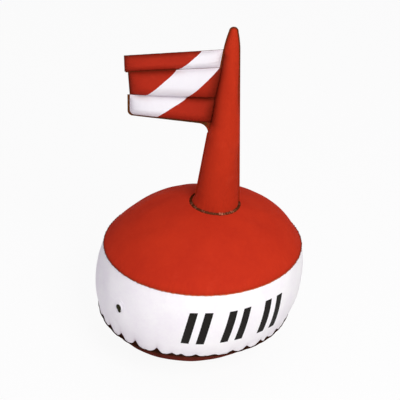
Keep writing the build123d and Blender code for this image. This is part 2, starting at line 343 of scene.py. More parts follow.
class Tree:
    """A node tree that is built by naming each node's kind, inputs and settings."""

    def __init__(self, tree: bpy.types.NodeTree) -> None:
        """Start on an emptied tree."""
        self.tree = tree
        tree.nodes.clear()

    def node(self, kind: str, inputs: dict[Any, Any] | None = None, **settings: Any) -> bpy.types.Node:
        """Add a node.

        Args:
            kind: the node's type.
            inputs: a value or another node's output for each input, by its name or number.
            settings: properties of the node.

        Returns:
            The node.
        """
        node = self.tree.nodes.new(kind)
        for key, value in settings.items():
            setattr(node, key, value)
        for key, value in (inputs or {}).items():
            if isinstance(value, bpy.types.NodeSocket):
                self.tree.links.new(value, node.inputs[key])
            else:
                node.inputs[key].default_value = value
        return node

    def effect(self, group: bpy.types.NodeTree, inputs: dict[str, Any] | None = None) -> Any:
        """Outputs of a shared node group, placed on the object's own coordinates."""
        given = {"Vector": self.place(), **(inputs or {})}
        return self.node("ShaderNodeGroup", given, node_tree=group).outputs

    def noise(self, vector: Any, scale: Any, detail: float = 3.0, rough: float = 0.55) -> Any:
        """Noise value over the surface."""
        inputs = {"Vector": vector, "Scale": scale, "Detail": detail, "Roughness": rough}
        return self.node("ShaderNodeTexNoise", inputs).outputs[0]

    def span(self, value: Any, low: Any, high: Any, to_low: float = 0.0, to_high: float = 1.0) -> Any:
        """Value carried from one range to another and held inside it."""
        inputs = {0: value, 1: low, 2: high, 3: to_low, 4: to_high}
        return self.node("ShaderNodeMapRange", inputs).outputs[0]

    def blend(self, share: Any, first: Any, second: Any) -> Any:
        """Colour between two colours."""
        inputs = {0: share, 6: first, 7: second}
        return self.node("ShaderNodeMix", inputs, data_type="RGBA").outputs[2]

    def maths(self, operation: str, first: Any, second: Any) -> Any:
        """Result of an operation on two values."""
        return self.node("ShaderNodeMath", {0: first, 1: second}, operation=operation).outputs[0]

    def times(self, first: Any, second: Any) -> Any:
        """Product of two values."""
        return self.maths("MULTIPLY", first, second)

    def plus(self, first: Any, second: Any) -> Any:
        """Sum of two values."""
        return self.maths("ADD", first, second)

    def bump(self, height: Any, strength: float, distance: float) -> Any:
        """Normal of the surface raised by a height from 0 to 1, times a distance."""
        inputs = {"Strength": strength, "Distance": distance, "Height": height}
        return self.node("ShaderNodeBump", inputs).outputs[0]

    def mixed(self, share: Any, first: bpy.types.Node, second: bpy.types.Node) -> Any:
        """Shader between two nodes' shaders."""
        inputs = {0: share, 1: first.outputs[0], 2: second.outputs[0]}
        return self.node("ShaderNodeMixShader", inputs).outputs[0]

    def attribute(self, name: str) -> Any:
        """Value kept at the points under a name."""
        return self.node("ShaderNodeAttribute", attribute_name=name).outputs["Fac"]

    def place(self) -> Any:
        """The point's place on the object."""
        return self.node("ShaderNodeTexCoord").outputs["Object"]


def new_material(name: str) -> tuple[bpy.types.Material, Tree]:
    """Empty material and its tree helper."""
    material = bpy.data.materials.new(name)
    material.use_nodes = True
    return material, Tree(material.node_tree)


class FilmEffects:
    """Shader node groups that the finishes share."""

    VALUE = "NodeSocketFloat"
    COLOUR = "NodeSocketColor"
    VECTOR = "NodeSocketVector"

    def __init__(self) -> None:
        """Build every group once."""
        self.mottle = self._mottle()
        self.grain = self._grain()
        self.scuffs = self._scuffs()

    def _start(
        self, name: str, inputs: dict[str, tuple[str, Any]], outputs: dict[str, str]
    ) -> tuple[Tree, Any]:
        """Start a shader node group that is placed by a vector.

        Args:
            name: name of the group.
            inputs: kind of socket and default value for each further input.
            outputs: kind of socket for each output.

        Returns:
            The group's tree helper and its given inputs.
        """
        group = bpy.data.node_groups.new(name, "ShaderNodeTree")
        group.interface.new_socket("Vector", in_out="INPUT", socket_type=self.VECTOR)
        for key, (kind, value) in inputs.items():
            group.interface.new_socket(key, in_out="INPUT", socket_type=kind).default_value = value
        for key, kind in outputs.items():
            group.interface.new_socket(key, in_out="OUTPUT", socket_type=kind)
        tree = Tree(group)
        return tree, tree.node("NodeGroupInput").outputs

    def _mottle(
        self, fine_ratio: float = 9.0, fine_share: float = 0.25, low: float = 0.36, high: float = 0.64
    ) -> bpy.types.NodeTree:
        """Cloudy change of a film's colour between two tones.

        Args:
            fine_ratio: how much smaller the fine clouds are than the broad ones.
            fine_share: how much they count.
            low: noise below which the first tone is pure.
            high: noise above which the other tone is pure.

        Returns:
            The group.
        """
        tree, given = self._start(
            "film_mottle",
            {
                "Tone": (self.COLOUR, (0.5, 0.5, 0.5, 1)),
                "Other tone": (self.COLOUR, (0.4, 0.4, 0.4, 1)),
                "Scale": (self.VALUE, 14.0),
                "Amount": (self.VALUE, 0.5),
            },
            {"Colour": self.COLOUR, "Mask": self.VALUE},
        )
        broad = tree.noise(given["Vector"], given["Scale"], detail=4.0)
        fine = tree.noise(given["Vector"], tree.times(given["Scale"], fine_ratio), detail=2.0)
        cloud = tree.plus(tree.times(broad, 1 - fine_share), tree.times(fine, fine_share))
        mask = tree.span(cloud, low, high)
        colour = tree.blend(tree.times(mask, given["Amount"]), given["Tone"], given["Other tone"])
        tree.node("NodeGroupOutput", {"Colour": colour, "Mask": mask})
        return tree.tree

    def _grain(self, fine_share: float = 0.35) -> bpy.types.NodeTree:
        """Height of a film's fine skin, with a slow orange peel under it.

        Args:
            fine_share: height of the fine skin beside the orange peel.

        Returns:
            The group.
        """
        inputs = {"Scale": (self.VALUE, 900.0), "Slow": (self.VALUE, 120.0)}
        tree, given = self._start("film_grain", inputs, {"Height": self.VALUE})
        fine = tree.noise(given["Vector"], given["Scale"], detail=1.0)
        slow = tree.noise(given["Vector"], given["Slow"], detail=2.0)
        tree.node("NodeGroupOutput", {"Height": tree.plus(tree.times(fine, fine_share), slow)})
        return tree.tree

    def _scuffs(
        self, patches: Pair = (0.56, 0.72), scratches: Pair = (0.58, 0.66), ratio: float = 12.0,
        least: float = 0.45,
    ) -> bpy.types.NodeTree:
        """Sparse rubbed patches and the fine scratches in them, from 0 to 1.

        Args:
            patches: noise at which a rubbed patch begins and is full.
            scratches: noise at which a scratch begins and is full.
            ratio: how much finer the scratches are than the patches.
            least: how rubbed a patch is between its scratches.

        Returns:
            The group.
        """
        inputs = {"Scale": (self.VALUE, 26.0), "Amount": (self.VALUE, 1.0)}
        tree, given = self._start("scuffs", inputs, {"Mask": self.VALUE})
        patch = tree.span(tree.noise(given["Vector"], given["Scale"], detail=5.0, rough=0.7), *patches)
        drawn_out = {"Vector": given["Vector"], "Scale": (1.0, 1.0, 7.0), "Rotation": (0.5, 0.3, 0.0)}
        stretched = tree.node("ShaderNodeMapping", drawn_out).outputs[0]
        lines = tree.span(tree.noise(stretched, tree.times(given["Scale"], ratio), detail=2.0), *scratches)
        mask = tree.times(tree.times(patch, tree.span(lines, 0.0, 1.0, least, 1.0)), given["Amount"])
        tree.node("NodeGroupOutput", {"Mask": mask})
        return tree.tree


# Finishes


@dataclass(frozen=True, kw_only=True)
class Moulding:
    """Moulded vinyl, rubber or wire: one tone with slight mottling, and dust in its grain."""

    name: str
    slot: str  # the record's material slot
    tone: Colour
    other_tone: Colour
    roughness: float
    metallic: float = 0.0
    specular: float = 0.5
    mottle_scale: float = 90.0
    mottle: float = 0.5
    polish: Pair = (-0.05, 0.08)  # change of roughness from the first tone to the other

    def build(self, effects: FilmEffects) -> bpy.types.Material:
        """Make the material: a Principled shader with this finish's inputs.

        Args:
            effects: the shared node groups.

        Returns:
            The material.
        """
        material, tree = new_material(self.name)
        plain = {"Roughness": self.roughness, "Metallic": self.metallic, "Specular IOR Level": self.specular}
        shader = tree.node("ShaderNodeBsdfPrincipled", plain | self.inputs(tree, effects))
        tree.node("ShaderNodeOutputMaterial", {"Surface": shader.outputs[0]})
        return material

    def inputs(self, tree: Tree, effects: FilmEffects) -> dict[str, Any]:
        """Colour and roughness that change with the mottling."""
        colour, mask = self.mottled(tree, effects)
        return {"Base Color": colour, "Roughness": self.polished(tree, mask)}

    def mottled(self, tree: Tree, effects: FilmEffects) -> tuple[Any, Any]:
        """Cloudy colour between the two tones, and its mask."""
        tones = {"Tone": self.tone, "Other tone": self.other_tone}
        made = tree.effect(effects.mottle, tones | {"Scale": self.mottle_scale, "Amount": self.mottle})
        return made["Colour"], made["Mask"]

    def polished(self, tree: Tree, mask: Any) -> Any:
        """Roughness that changes with a mask."""
        smooth, rough = (self.roughness + change for change in self.polish)
        return tree.span(mask, 0.0, 1.0, smooth, rough)


@dataclass(frozen=True, kw_only=True)
class VinylFilm(Moulding):
    """Supple film with a low sheen: cloudy tone, fine grain, painted shade in its folds and creases."""

    # colour of the painted shade in folds, creases and corners
    shade_tone: Colour
    rubbed_tone: Colour
    roughness: float = 0.58
    specular: float = 0.05
    mottle_scale: float = 16.0
    mottle: float = 0.6
    polish: Pair = (-0.04, 0.05)
    scuff: float = 0.25
    scuff_rough: float = 0.3  # how much rougher a scuff is
    grain_height: float = 0.00006

    def inputs(self, tree: Tree, effects: FilmEffects) -> dict[str, Any]:
        """Inputs of the shader; the attribute fold darkens the colour to the shade tone.

        Args:
            tree: the material's tree helper.
            effects: the shared node groups.

        Returns:
            Inputs by name.
        """
        colour, mask = self.mottled(tree, effects)
        scuffs = tree.effect(effects.scuffs, {"Amount": self.scuff})["Mask"]
        # painted shade: the colour goes towards the shade tone where the attribute is high
        colour = tree.blend(tree.attribute("fold"), colour, self.shade_tone)
        return {
            "Base Color": tree.blend(scuffs, colour, self.rubbed_tone),
            "Roughness": tree.plus(self.polished(tree, mask), tree.times(scuffs, self.scuff_rough)),
            "Normal": tree.bump(tree.effect(effects.grain)["Height"], 0.5, self.grain_height),
        }


@dataclass(frozen=True, kw_only=True)
class PressedWeld(Moulding):
    """Welded edge: two sheets pressed into one, darker and smoother, with the die's cross marks."""

    # pale tone: painted highlight on the top seam and painted glints on the foot weld; on the edge weld a
    # redder tint of the weld itself
    tint_and_glint_tone: Colour
    slot: str = "weld"
    roughness: float = 0.42
    mottle_scale: float = 60.0
    press_scale: float = 420.0
    press_height: float = 0.0001

    def inputs(self, tree: Tree, effects: FilmEffects) -> dict[str, Any]:
        """Inputs of the shader; the attribute crest lifts the colour to the pale tone.

        Args:
            tree: the material's tree helper.
            effects: the shared node groups.

        Returns:
            Inputs by name.
        """
        colour, _ = self.mottled(tree, effects)
        press = tree.node("ShaderNodeTexVoronoi", {"Vector": tree.place(), "Scale": self.press_scale})
        return {
            "Base Color": tree.blend(tree.attribute("crest"), colour, self.tint_and_glint_tone),
            "Normal": tree.bump(press.outputs["Distance"], 0.4, self.press_height),
        }


@dataclass(frozen=True, kw_only=True)
class PrintInk(Moulding):
    """Screen ink on film: dull, thin in places where the other tone shows, grained as the film is."""

    thin_scale: float = 60.0
    thin: float = 0.5
    grain_height: float = 0.00006

    def inputs(self, tree: Tree, effects: FilmEffects) -> dict[str, Any]:
        """Colour worn thin by the scuffs, over the film's grain."""
        thin = tree.effect(effects.scuffs, {"Scale": self.thin_scale, "Amount": self.thin})["Mask"]
        normal = tree.bump(tree.effect(effects.grain)["Height"], 0.4, self.grain_height)
        return {"Base Color": tree.blend(thin, self.tone, self.other_tone), "Normal": normal}


@dataclass(frozen=True, kw_only=True)
class Webbing(Moulding):
    """Woven strap: ribs across its width from a wave pattern, with the other tone in the valleys."""

    ribs: float = 260.0
    waver: float = 1.5
    rib_height: float = 0.0003

    def inputs(self, tree: Tree, effects: FilmEffects) -> dict[str, Any]:
        """Colour and relief of the ribs; the shared groups aren't used."""
        inputs = {"Vector": tree.place(), "Scale": self.ribs, "Distortion": self.waver}
        wave = tree.node("ShaderNodeTexWave", inputs, bands_direction="X").outputs["Fac"]
        return {
            "Base Color": tree.blend(wave, self.other_tone, self.tone),
            "Normal": tree.bump(wave, 0.8, self.rib_height),
        }


class Finish(Enum):
    """The buoy's finishes."""

    RED = VinylFilm(
        name="red_vinyl_film", slot="red_vinyl",
        tone=(0.51, 0.031, 0.011, 1), other_tone=(0.43, 0.023, 0.010, 1),
        shade_tone=(0.15, 0.012, 0.005, 1), rubbed_tone=(0.62, 0.06, 0.03, 1), roughness=0.68, specular=0.015,
    )
    # copy of the red film, darker than the float's: painted shade for how the light falls on the mast
    RED_MAST_SHADED = VinylFilm(
        name="red_mast_shaded_film", slot="red_vinyl",
        tone=(0.44, 0.028, 0.009, 1), other_tone=(0.36, 0.021, 0.008, 1),
        shade_tone=(0.10, 0.008, 0.003, 1), rubbed_tone=(0.52, 0.06, 0.03, 1), roughness=0.66, specular=0.02,
    )
    # darker copy again for the flag: painted shade
    RED_FLAG_SHADED = VinylFilm(
        name="red_flag_shaded_film", slot="red_vinyl",
        tone=(0.38, 0.024, 0.010, 1), other_tone=(0.31, 0.018, 0.009, 1),
        shade_tone=(0.12, 0.010, 0.004, 1), rubbed_tone=(0.52, 0.06, 0.03, 1), roughness=0.66, specular=0.02,
    )
    # much darker copy of the red film for the underside: painted shade under the float
    RED_UNDER_SHADED = VinylFilm(
        name="red_under_shaded_film", slot="red_vinyl",
        tone=(0.20, 0.032, 0.020, 1), other_tone=(0.16, 0.026, 0.017, 1),
        shade_tone=(0.070, 0.016, 0.010, 1), rubbed_tone=(0.32, 0.05, 0.03, 1), roughness=0.75, specular=0.0,
    )
    WHITE = VinylFilm(
        name="white_vinyl_film", slot="white_vinyl",
        tone=(0.89, 0.885, 0.89, 1), other_tone=(0.82, 0.78, 0.84, 1),
        shade_tone=(0.64, 0.58, 0.62, 1), rubbed_tone=(0.70, 0.66, 0.70, 1), mottle_scale=22.0,
    )
    # darker copy of the white film for the flag's stripe: painted shade, so the strongly lit stripe stays
    # below white
    WHITE_STRIPE_SHADED = VinylFilm(
        name="white_stripe_shaded_film", slot="white_vinyl",
        tone=(0.745, 0.735, 0.765, 1), other_tone=(0.71, 0.69, 0.73, 1),
        shade_tone=(0.68, 0.63, 0.67, 1), rubbed_tone=(0.70, 0.66, 0.70, 1), mottle_scale=22.0,
    )
    EDGE_WELD = PressedWeld(
        name="edge_weld", tone=(0.10, 0.028, 0.006, 1), other_tone=(0.06, 0.020, 0.005, 1),
        tint_and_glint_tone=(0.34, 0.022, 0.006, 1), specular=0.03,
    )
    TOP_WELD = PressedWeld(
        name="top_weld", tone=(0.17, 0.020, 0.010, 1), other_tone=(0.10, 0.012, 0.006, 1),
        tint_and_glint_tone=(0.66, 0.15, 0.05, 1), specular=0.03,
    )
    # near black: the bottom weld darkened as painted shade under the band
    LOW_WELD_SHADED = PressedWeld(
        name="low_weld_shaded", tone=(0.040, 0.012, 0.006, 1), other_tone=(0.024, 0.008, 0.004, 1),
        tint_and_glint_tone=(0.20, 0.03, 0.02, 1), specular=0.0,
    )
    FOOT_WELD = PressedWeld(
        name="foot_weld", tone=(0.050, 0.009, 0.002, 1), other_tone=(0.075, 0.026, 0.005, 1),
        tint_and_glint_tone=(0.66, 0.20, 0.12, 1), specular=0.0,
    )
    CLEAR = Moulding(
        name="milky_vinyl", slot="clear_vinyl", tone=(0.86, 0.85, 0.87, 1), other_tone=(0.80, 0.76, 0.82, 1),
        roughness=0.45, specular=0.15,
    )
    PRINT = PrintInk(
        name="print_ink", slot="print", tone=(0.012, 0.010, 0.009, 1), other_tone=(0.06, 0.055, 0.055, 1),
        roughness=0.6, specular=0.1,
    )
    PLUG = Moulding(
        name="plug_rubber", slot="plug", tone=(0.015, 0.013, 0.004, 1), other_tone=(0.032, 0.028, 0.010, 1),
        roughness=0.6, specular=0.08,
    )
    WEBBING = Webbing(
        name="webbing", slot="webbing", tone=(0.06, 0.06, 0.065, 1), other_tone=(0.015, 0.015, 0.017, 1),
        roughness=0.85,
    )
    STEEL = Moulding(
        name="ring_steel", slot="ring_steel", tone=(0.72, 0.72, 0.72, 1), other_tone=(0.6, 0.6, 0.61, 1),
        roughness=0.2, metallic=1.0,
    )


class Wardrobe:
    """Materials of all the finishes, built once, and the pieces that wear them."""

    def __init__(self) -> None:
        """Build the shared effects and every material."""
        effects = FilmEffects()
        self.materials = {finish: finish.value.build(effects) for finish in Finish}

    def dress(self, piece: bpy.types.Object, finish: Finish) -> None:
        """Give a piece a finish's material, in place of any that it had."""
        piece.data.materials.clear()
        piece.data.materials.append(self.materials[finish])

    def make(
        self,
        name: str,
        surface: Surface,
        finish: Finish,
        node: str,
        body: str = "buoy",
        crease: float = 50.0,
    ) -> None:
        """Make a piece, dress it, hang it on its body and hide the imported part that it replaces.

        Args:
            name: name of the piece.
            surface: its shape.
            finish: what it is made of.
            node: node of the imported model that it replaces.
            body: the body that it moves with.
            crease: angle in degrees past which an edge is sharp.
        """
        piece = new_piece(name, surface, crease)
        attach(piece, body)
        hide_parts(node)
        self.dress(piece, finish)


# Float


@dataclass(frozen=True)
class FloatShape:
    """Round float with a swollen band between two domed panels, leaning sideways."""

    lower_z: float  # height of the bottom seam
    upper_z: float  # height of the top seam
    seam_r: float
    belly_r: float  # widest radius, half way up the band
    dome_rise: float
    lean: float  # sideways shift for each metre of height

    @classmethod
    def from_frame(cls, seam_proud: float = 0.0015) -> "FloatShape":
        """Read the float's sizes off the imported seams, band and top panel.

        Args:
            seam_proud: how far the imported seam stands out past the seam's radius.

        Returns:
            The float's shape.
        """
        (low_a, low_b), (up_a, up_b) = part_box("bottom_seam"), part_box("top_seam")
        lower_z, upper_z = (low_a.z + low_b.z) / 2, (up_a.z + up_b.z) / 2
        return cls(
            lower_z=lower_z,
            upper_z=upper_z,
            seam_r=(up_b.y - up_a.y) / 2 - seam_proud,
            belly_r=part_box("side_band")[1].y,
            dome_rise=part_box("top_panel")[1].z - upper_z,
            lean=((up_a.x + up_b.x) - (low_a.x + low_b.x)) / 2 / (upper_z - lower_z),
        )

    @property
    def mid_z(self) -> float:
        """Height of the middle of the band."""
        return (self.lower_z + self.upper_z) / 2

    @property
    def top_z(self) -> float:
        """Height of the upper dome."""
        return self.upper_z + self.dome_rise

    @property
    def dome_r(self) -> float:
        """Radius of curvature of a domed panel."""
        return (self.seam_r ** 2 + self.dome_rise ** 2) / (2 * self.dome_rise)

    def belly(self, height: np.ndarray) -> np.ndarray:
        """Radius of the band: an arc through both seams and the belly.

        Args:
            height: heights above the floor.

        Returns:
            Radii.
        """
        half = (self.upper_z - self.lower_z) / 2
        sag = self.belly_r - self.seam_r
        arc_r = (half ** 2 + sag ** 2) / (2 * sag)
        off = np.clip(np.abs(height - self.mid_z), 0, arc_r)
        return self.belly_r - arc_r + np.sqrt(arc_r ** 2 - off ** 2)

    def dome_drop(self, radius: np.ndarray) -> np.ndarray:
        """Drop of a domed panel from its middle at a radius: part of a sphere."""
        return self.dome_r - np.sqrt(self.dome_r ** 2 - np.asarray(radius) ** 2)

    def turned(self, radius: Any, azimuth: Any, height: Any) -> np.ndarray:
        """Points at a radius, azimuth and height, shifted sideways in proportion to their height."""
        x, y, z = np.broadcast_arrays(radius * np.sin(azimuth), -radius * np.cos(azimuth), height)
        return np.stack([x + self.lean * (z - self.mid_z), y, z], -1)

    def dome_z(self, x: np.ndarray, y: np.ndarray) -> np.ndarray:
        """Height of the leaned upper dome, by undoing the lean three times.

        Args:
            x: places along X.
            y: places along Y.

        Returns:
            Heights over those places.
        """
        height = np.full_like(x, self.top_z)
        for _ in range(3):
            upright = x - self.lean * (height - self.mid_z)
            height = self.top_z - self.dome_drop(np.hypot(upright, y))
        return height


@dataclass(frozen=True)
class Panel:
    """What differs between the float's two domed panels."""

    node: str
    finish: Finish
    gathers: Gathers  # fine puckers along its seam
    notch_depth: float  # depth of the creases that run in from the notches
    shade_reach: float  # how far the painted shade at the weld reaches in
    dent_turn: float = 0.0  # turn of the dents, so that the panels differ


@dataclass
class FloatDrum:
    """The float: band, domed panels, welded seams, lap weld and printed marks."""

    shape: FloatShape
    divisions: int = 864
    band_rows: int = 60
    row_crowd: float = 0.55  # how much the band's rows crowd to its edges
    dome_rows: int = 58
    rim_crowd: float = 1.7  # how much a panel's rows crowd to its rim
    dent: float = 0.0009  # height of the soft dents
    dent_edge: float = 0.03  # distance from a seam at which they are full
    edge_gap: float = 0.0004  # height of the white film's lower edge above its seam
    edge_wave: float = 0.0006  # how far the fine puckers lift it
    edge_low: float = 0.0003  # depth of the upper edge below its seam
    edge_dip: float = 0.0005  # how far the fine puckers lower it
    notch_h: float = 0.0095  # how far the lower edge is drawn up at a notch
    notch_in: Fade = Fade(0.0022, 0.020)  # how far the film is drawn in there
    gather_in: Fade = Fade(0.0007, 0.009)  # depth of the fine puckers at both seams
    crease: Fade = Fade(0.0009, 0.010)  # depth of the panels' creases from the seam
    notch_crease: Fade = Fade(1.0, 0.022)  # reach of the creases from the notches
    wall_in: float = 0.006  # depth of the band's inner wall inside the seam
    rim_in: float = 0.003  # depth of a panel's rim inside its skin
    rim_lap: float = 0.001  # how far the rim reaches into the band
    sunk: float = 0.001  # depth of what lies on the band inside its skin
    weld_out: float = 0.0016  # how far a seam's edge stands out
    weld_in: float = 0.005  # and how far it reaches in
    weld_t: float = 0.0012
    weld_edge: float = 0.0003  # rounding of the edge
    weld_wave: float = 0.0005  # how far the edge waves up and down
    hollow_r: float = 0.037  # hollow for the line fixing in the float's underside
    hollow_h: float = 0.0072
    hollow_side: float = 0.006  # width of its sloping side
    floor_gap: float = 0.0003  # height of the underside above the floor
    tuck: float = 0.002  # how far the lower panel's rim stays behind the white film
    shoulder: Bell = Bell(110, math.degrees(0.55), 0.0042)  # swell of the upper panel at the back right
    back_dip: float = 0.0045  # depth of the slack behind the mast
    back_place: Pair = (0.012, 0.110)
    back_width: float = 0.046
    # where the lower panel is less full
    slacks: tuple[Bell, ...] = (Bell(38, 24, 0.0032), Bell(-40, 17, -0.0032))
    # where the white edge hangs lower
    sags: tuple[Bell, ...] = (Bell(-42, 28, 0.0050), Bell(54, 32, 0.0062))
    notch_shade: Fade = Fade(0.8, 0.004)  # painted shade on the band over a notch
    seam_shade: Fade = Fade(0.35, 0.0016)  # and under the top seam
    side_shade: Bell = Bell(-48, 34, 0.45)  # and low down at the left
    side_fade: Fade = Fade(1.0, 0.016)
    rim_shade: float = 0.75  # painted shade on a panel at its seam
    under_shade: Bell = Bell(-60, 30, 0.9)  # and on the lower panel at the left
    under_notch: float = 0.7  # and in its creases from the notches
    lit_azimuth: float = math.radians(15)  # where light catches the top seam
    lap_azimuth: float = math.radians(150)
    lap_w: float = 0.010
    lap_ends: Pair = (0.007, 0.005)  # distance of the lap's ends from the seams
    lap_lift: float = 0.0001
    mark_azimuths: tuple[float, ...] = (-0.5, 20.4, 42.0)
    mark_stroke: float = 0.015
    mark_gap: float = 0.013
    mark_h: float = 0.068
    mark_slant: float = math.radians(8)
    ink_t: float = 0.00015
    top: Panel = Panel("top_panel", Finish.RED, Gathers(136, 11, 0.28), 0.0006, 0.0018)
    low: Panel = Panel("bottom_panel", Finish.RED_UNDER_SHADED, Gathers(96, 12, 0.3), 0.0016, 0.025, 2.0)
    dents: Dents = Dents(seed=5)
    notches: Notches = Notches(
        places=(
            (-78, 1.0), (-68, 1.0), (-57, 1.2), (-46, 1.3), (-35, 1.4), (-21, 1.2), (-12, 0.6), (-7, 0.5),
            (1, 0.5), (11, 0.3), (22, 0.7), (31, 0.9), (41, 1.0), (47, 0.8), (56, 0.9), (67, 0.7), (80, 0.8),
            (93, 0.6), (104, 1.0), (117, 0.7), (128, 0.9), (141, 0.6), (158, 0.8), (171, 1.0), (184, 0.7),
            (197, 0.9), (209, 0.6), (222, 0.8), (236, 1.0), (247, 0.7), (260, 0.9), (271, 0.6),
        ),
        width=1.9,
    )
    azimuth: np.ndarray = field(init=False)

    def __post_init__(self) -> None:
        """Azimuths of the grid's columns."""
        self.azimuth = np.linspace(0, TAU, self.divisions, endpoint=False)

    def low_level(self, azimuth: np.ndarray) -> np.ndarray:
        """Height of the bottom seam, low where it sags."""
        return self.shape.lower_z - sum(sag.at(azimuth) for sag in self.sags)

    def band_r(self, azimuth: np.ndarray, height: np.ndarray) -> np.ndarray:
        """Radius of the band's skin: the belly, less puckers that widen and fade upwards, plus dents.

        Args:
            azimuth: azimuths in radians.
            height: heights above the floor.

        Returns:
            Radii.
        """
        azimuth, height = np.broadcast_arrays(azimuth, height)
        above = np.clip(height - self.shape.lower_z, 0, None)
        below = np.clip(self.shape.upper_z - height, 0, None)
        deep = self.notch_in.at(above) * self.notches.depth(azimuth, spread=1.3 + above / 0.010)
        fine = self.top.gathers.depth(azimuth) * self.gather_in.at(below)
        fine = fine + self.low.gathers.depth(azimuth) * self.gather_in.at(above)
        free = np.clip(np.minimum(above, below) / self.dent_edge, 0, 1)
        soft = self.dent * self.dents.height(azimuth, height) * free
        return self.shape.belly(height) - deep - fine + soft

    def band(self) -> Surface:
        """White band: outer skin by rows of height, closed by a straight inner wall.

        Its lower edge is drawn up at each notch and hangs low where it sags. The painted shade is
        strongest over the notches, under the top seam and low down at the left.

        Returns:
            The band, with its painted shade.
        """
        shape, azimuth = self.shape, self.azimuth
        share = crowd(self.band_rows, self.row_crowd)[:, None]
        lift = self.edge_wave * self.low.gathers.depth(azimuth) + self.notch_h * self.notches.depth(azimuth)
        low = self.low_level(azimuth) + self.edge_gap + lift
        high = shape.upper_z - self.edge_low - self.edge_dip * self.top.gathers.depth(azimuth)
        height = between(low, high, share)
        skin = shape.turned(self.band_r(azimuth, height), azimuth, height)
        walls = [shape.turned(shape.seam_r - self.wall_in, azimuth, edge)[None] for edge in (high, low)]
        # painted shade in the notches, under the top seam and low down at the left
        fold = (
            self.notch_shade.at(height - low) * self.notches.depth(azimuth, spread=1.0 + share * 4)
            + self.seam_shade.at(shape.upper_z - height)
            + self.side_shade.at(azimuth) * self.side_fade.at(height - low)
        )
        fold = np.concatenate([fold, np.zeros((len(walls), self.divisions))])
        return wrapped(np.concatenate([skin, *walls]), closed=True, fold=np.clip(fold, 0, 1))

    def upper_swell(self, radius: np.ndarray) -> np.ndarray:
        """Rise of the upper panel at its shoulder, and its dip behind the mast.

        Args:
            radius: distances from the float's axis, as a column.

        Returns:
            Heights to add, at each radius and azimuth.
        """
        inward = self.shape.seam_r - radius
        swell = self.shoulder.at(self.azimuth) * ease(inward / 0.035) * ease((radius - 0.08) / 0.05)
        plan = self.shape.turned(radius, self.azimuth, self.shape.top_z)
        behind = np.hypot(plan[..., 0] - self.back_place[0], plan[..., 1] - self.back_place[1])
        return swell - self.back_dip * hump(behind, self.back_width)

    def dome(self, upper: bool) -> Surface:
        """Domed panel: part of a sphere, with creases that run in from the seam and fade.

        Soft dents lie between the creases and the middle. The lower panel is less full where it
        is slack, rests on the floor, has a hollow for the line fixing, and stays behind the band.

        Args:
            upper: whether this is the upper panel.

        Returns:
            The panel, closed by a flat disc inside the float, with its painted shade.
        """
        shape, azimuth = self.shape, self.azimuth
        panel = self.top if upper else self.low
        radius = shape.seam_r * (1 - np.linspace(0, 1, self.dome_rows) ** self.rim_crowd)
        if not upper:
            slope = self.hollow_r - np.linspace(-0.0005, self.hollow_side + 0.0005, 9)
            radius = np.unique(np.concatenate([radius, slope]))[::-1]
        radius = radius[:, None]
        inward = shape.seam_r - radius
        deep = self.notches.depth(azimuth, spread=1.2 + inward / 0.02) * self.notch_crease.at(inward)
        crease = panel.gathers.depth(azimuth) * self.crease.at(inward) + deep * panel.notch_depth
        near = ease(inward / 0.02) * ease((radius - 0.05) / 0.06)
        soft = self.dent / 2 * self.dents.height(azimuth + panel.dent_turn, radius * 2) * near
        drop = shape.dome_drop(radius) + crease - soft
        # painted shade at the seam, on the underside at the left and in the creases
        fold = self.rim_shade * np.exp(-inward / panel.shade_reach) * (0.5 + 0.5 * panel.gathers.depth(azimuth))
        if upper:
            height = shape.top_z - drop + self.upper_swell(radius)
            base = shape.upper_z - self.rim_lap
        else:
            drop = drop + sum(slack.at(azimuth) for slack in self.slacks) * ease(inward / 0.03)
            hollow = self.hollow_h * ease((self.hollow_r - radius) / self.hollow_side)
            height = np.maximum(shape.lower_z - shape.dome_rise + drop, hollow + self.floor_gap)
            base = shape.lower_z + self.rim_lap
            radius = np.minimum(radius, self.band_r(azimuth, height) - self.tuck)
            fold = np.clip(fold + self.under_shade.at(azimuth) + self.under_notch * deep, 0, 1)
        skin = shape.turned(radius, azimuth, height)
        middle = np.broadcast_to(skin[-1].mean(0), skin[-1:].shape)
        rim = shape.turned(radius[0] - self.rim_in, azimuth, base)[None]
        closing = np.broadcast_to(rim.mean((0, 1)), rim.shape)
        rings = np.concatenate([closing, rim, skin[:-1], middle])
        return wrapped(rings, fold=np.concatenate([fold[:1], fold[:1], fold]))

    def seam(self, upper: bool) -> Surface:
        """Welded edge: a flat ring whose outer edge follows the puckers and waves a little.

        Args:
            upper: whether this is the top seam.

        Returns:
            The ring; the top one is palest where the light meets the front.
        """
        shape, azimuth = self.shape, self.azimuth
        gathers = (self.top if upper else self.low).gathers
        level = np.full_like(azimuth, shape.upper_z) if upper else self.low_level(azimuth)
        pull = gathers.depth(azimuth)
        if not upper:
            pull = np.maximum(pull * 0.5, self.notches.depth(azimuth, spread=1.6))
        inner = shape.belly(level) - self.weld_in
        outer = shape.belly(level) + self.weld_out * (1 - 0.75 * pull)
        wave = level + self.weld_wave * (gathers.depth(azimuth + 0.4 * TAU / gathers.count) - 0.4)
        half = self.weld_t / 2
        section = [
            (inner, level - half), (outer - self.weld_edge, wave - half), (outer, wave),
            (outer - self.weld_edge, wave + half), (inner, level + half),
        ]
        rings = np.stack([shape.turned(out, azimuth, height) for out, height in section])
        if not upper:
            return wrapped(rings, closed=True)
        # painted highlight on the top seam where the light meets the front
        lit = np.clip(np.cos(azimuth - self.lit_azimuth), 0, 1) ** 2 * (0.9 - 0.5 * pull)
        return wrapped(rings, closed=True, crest=np.tile(lit, (len(section), 1)))

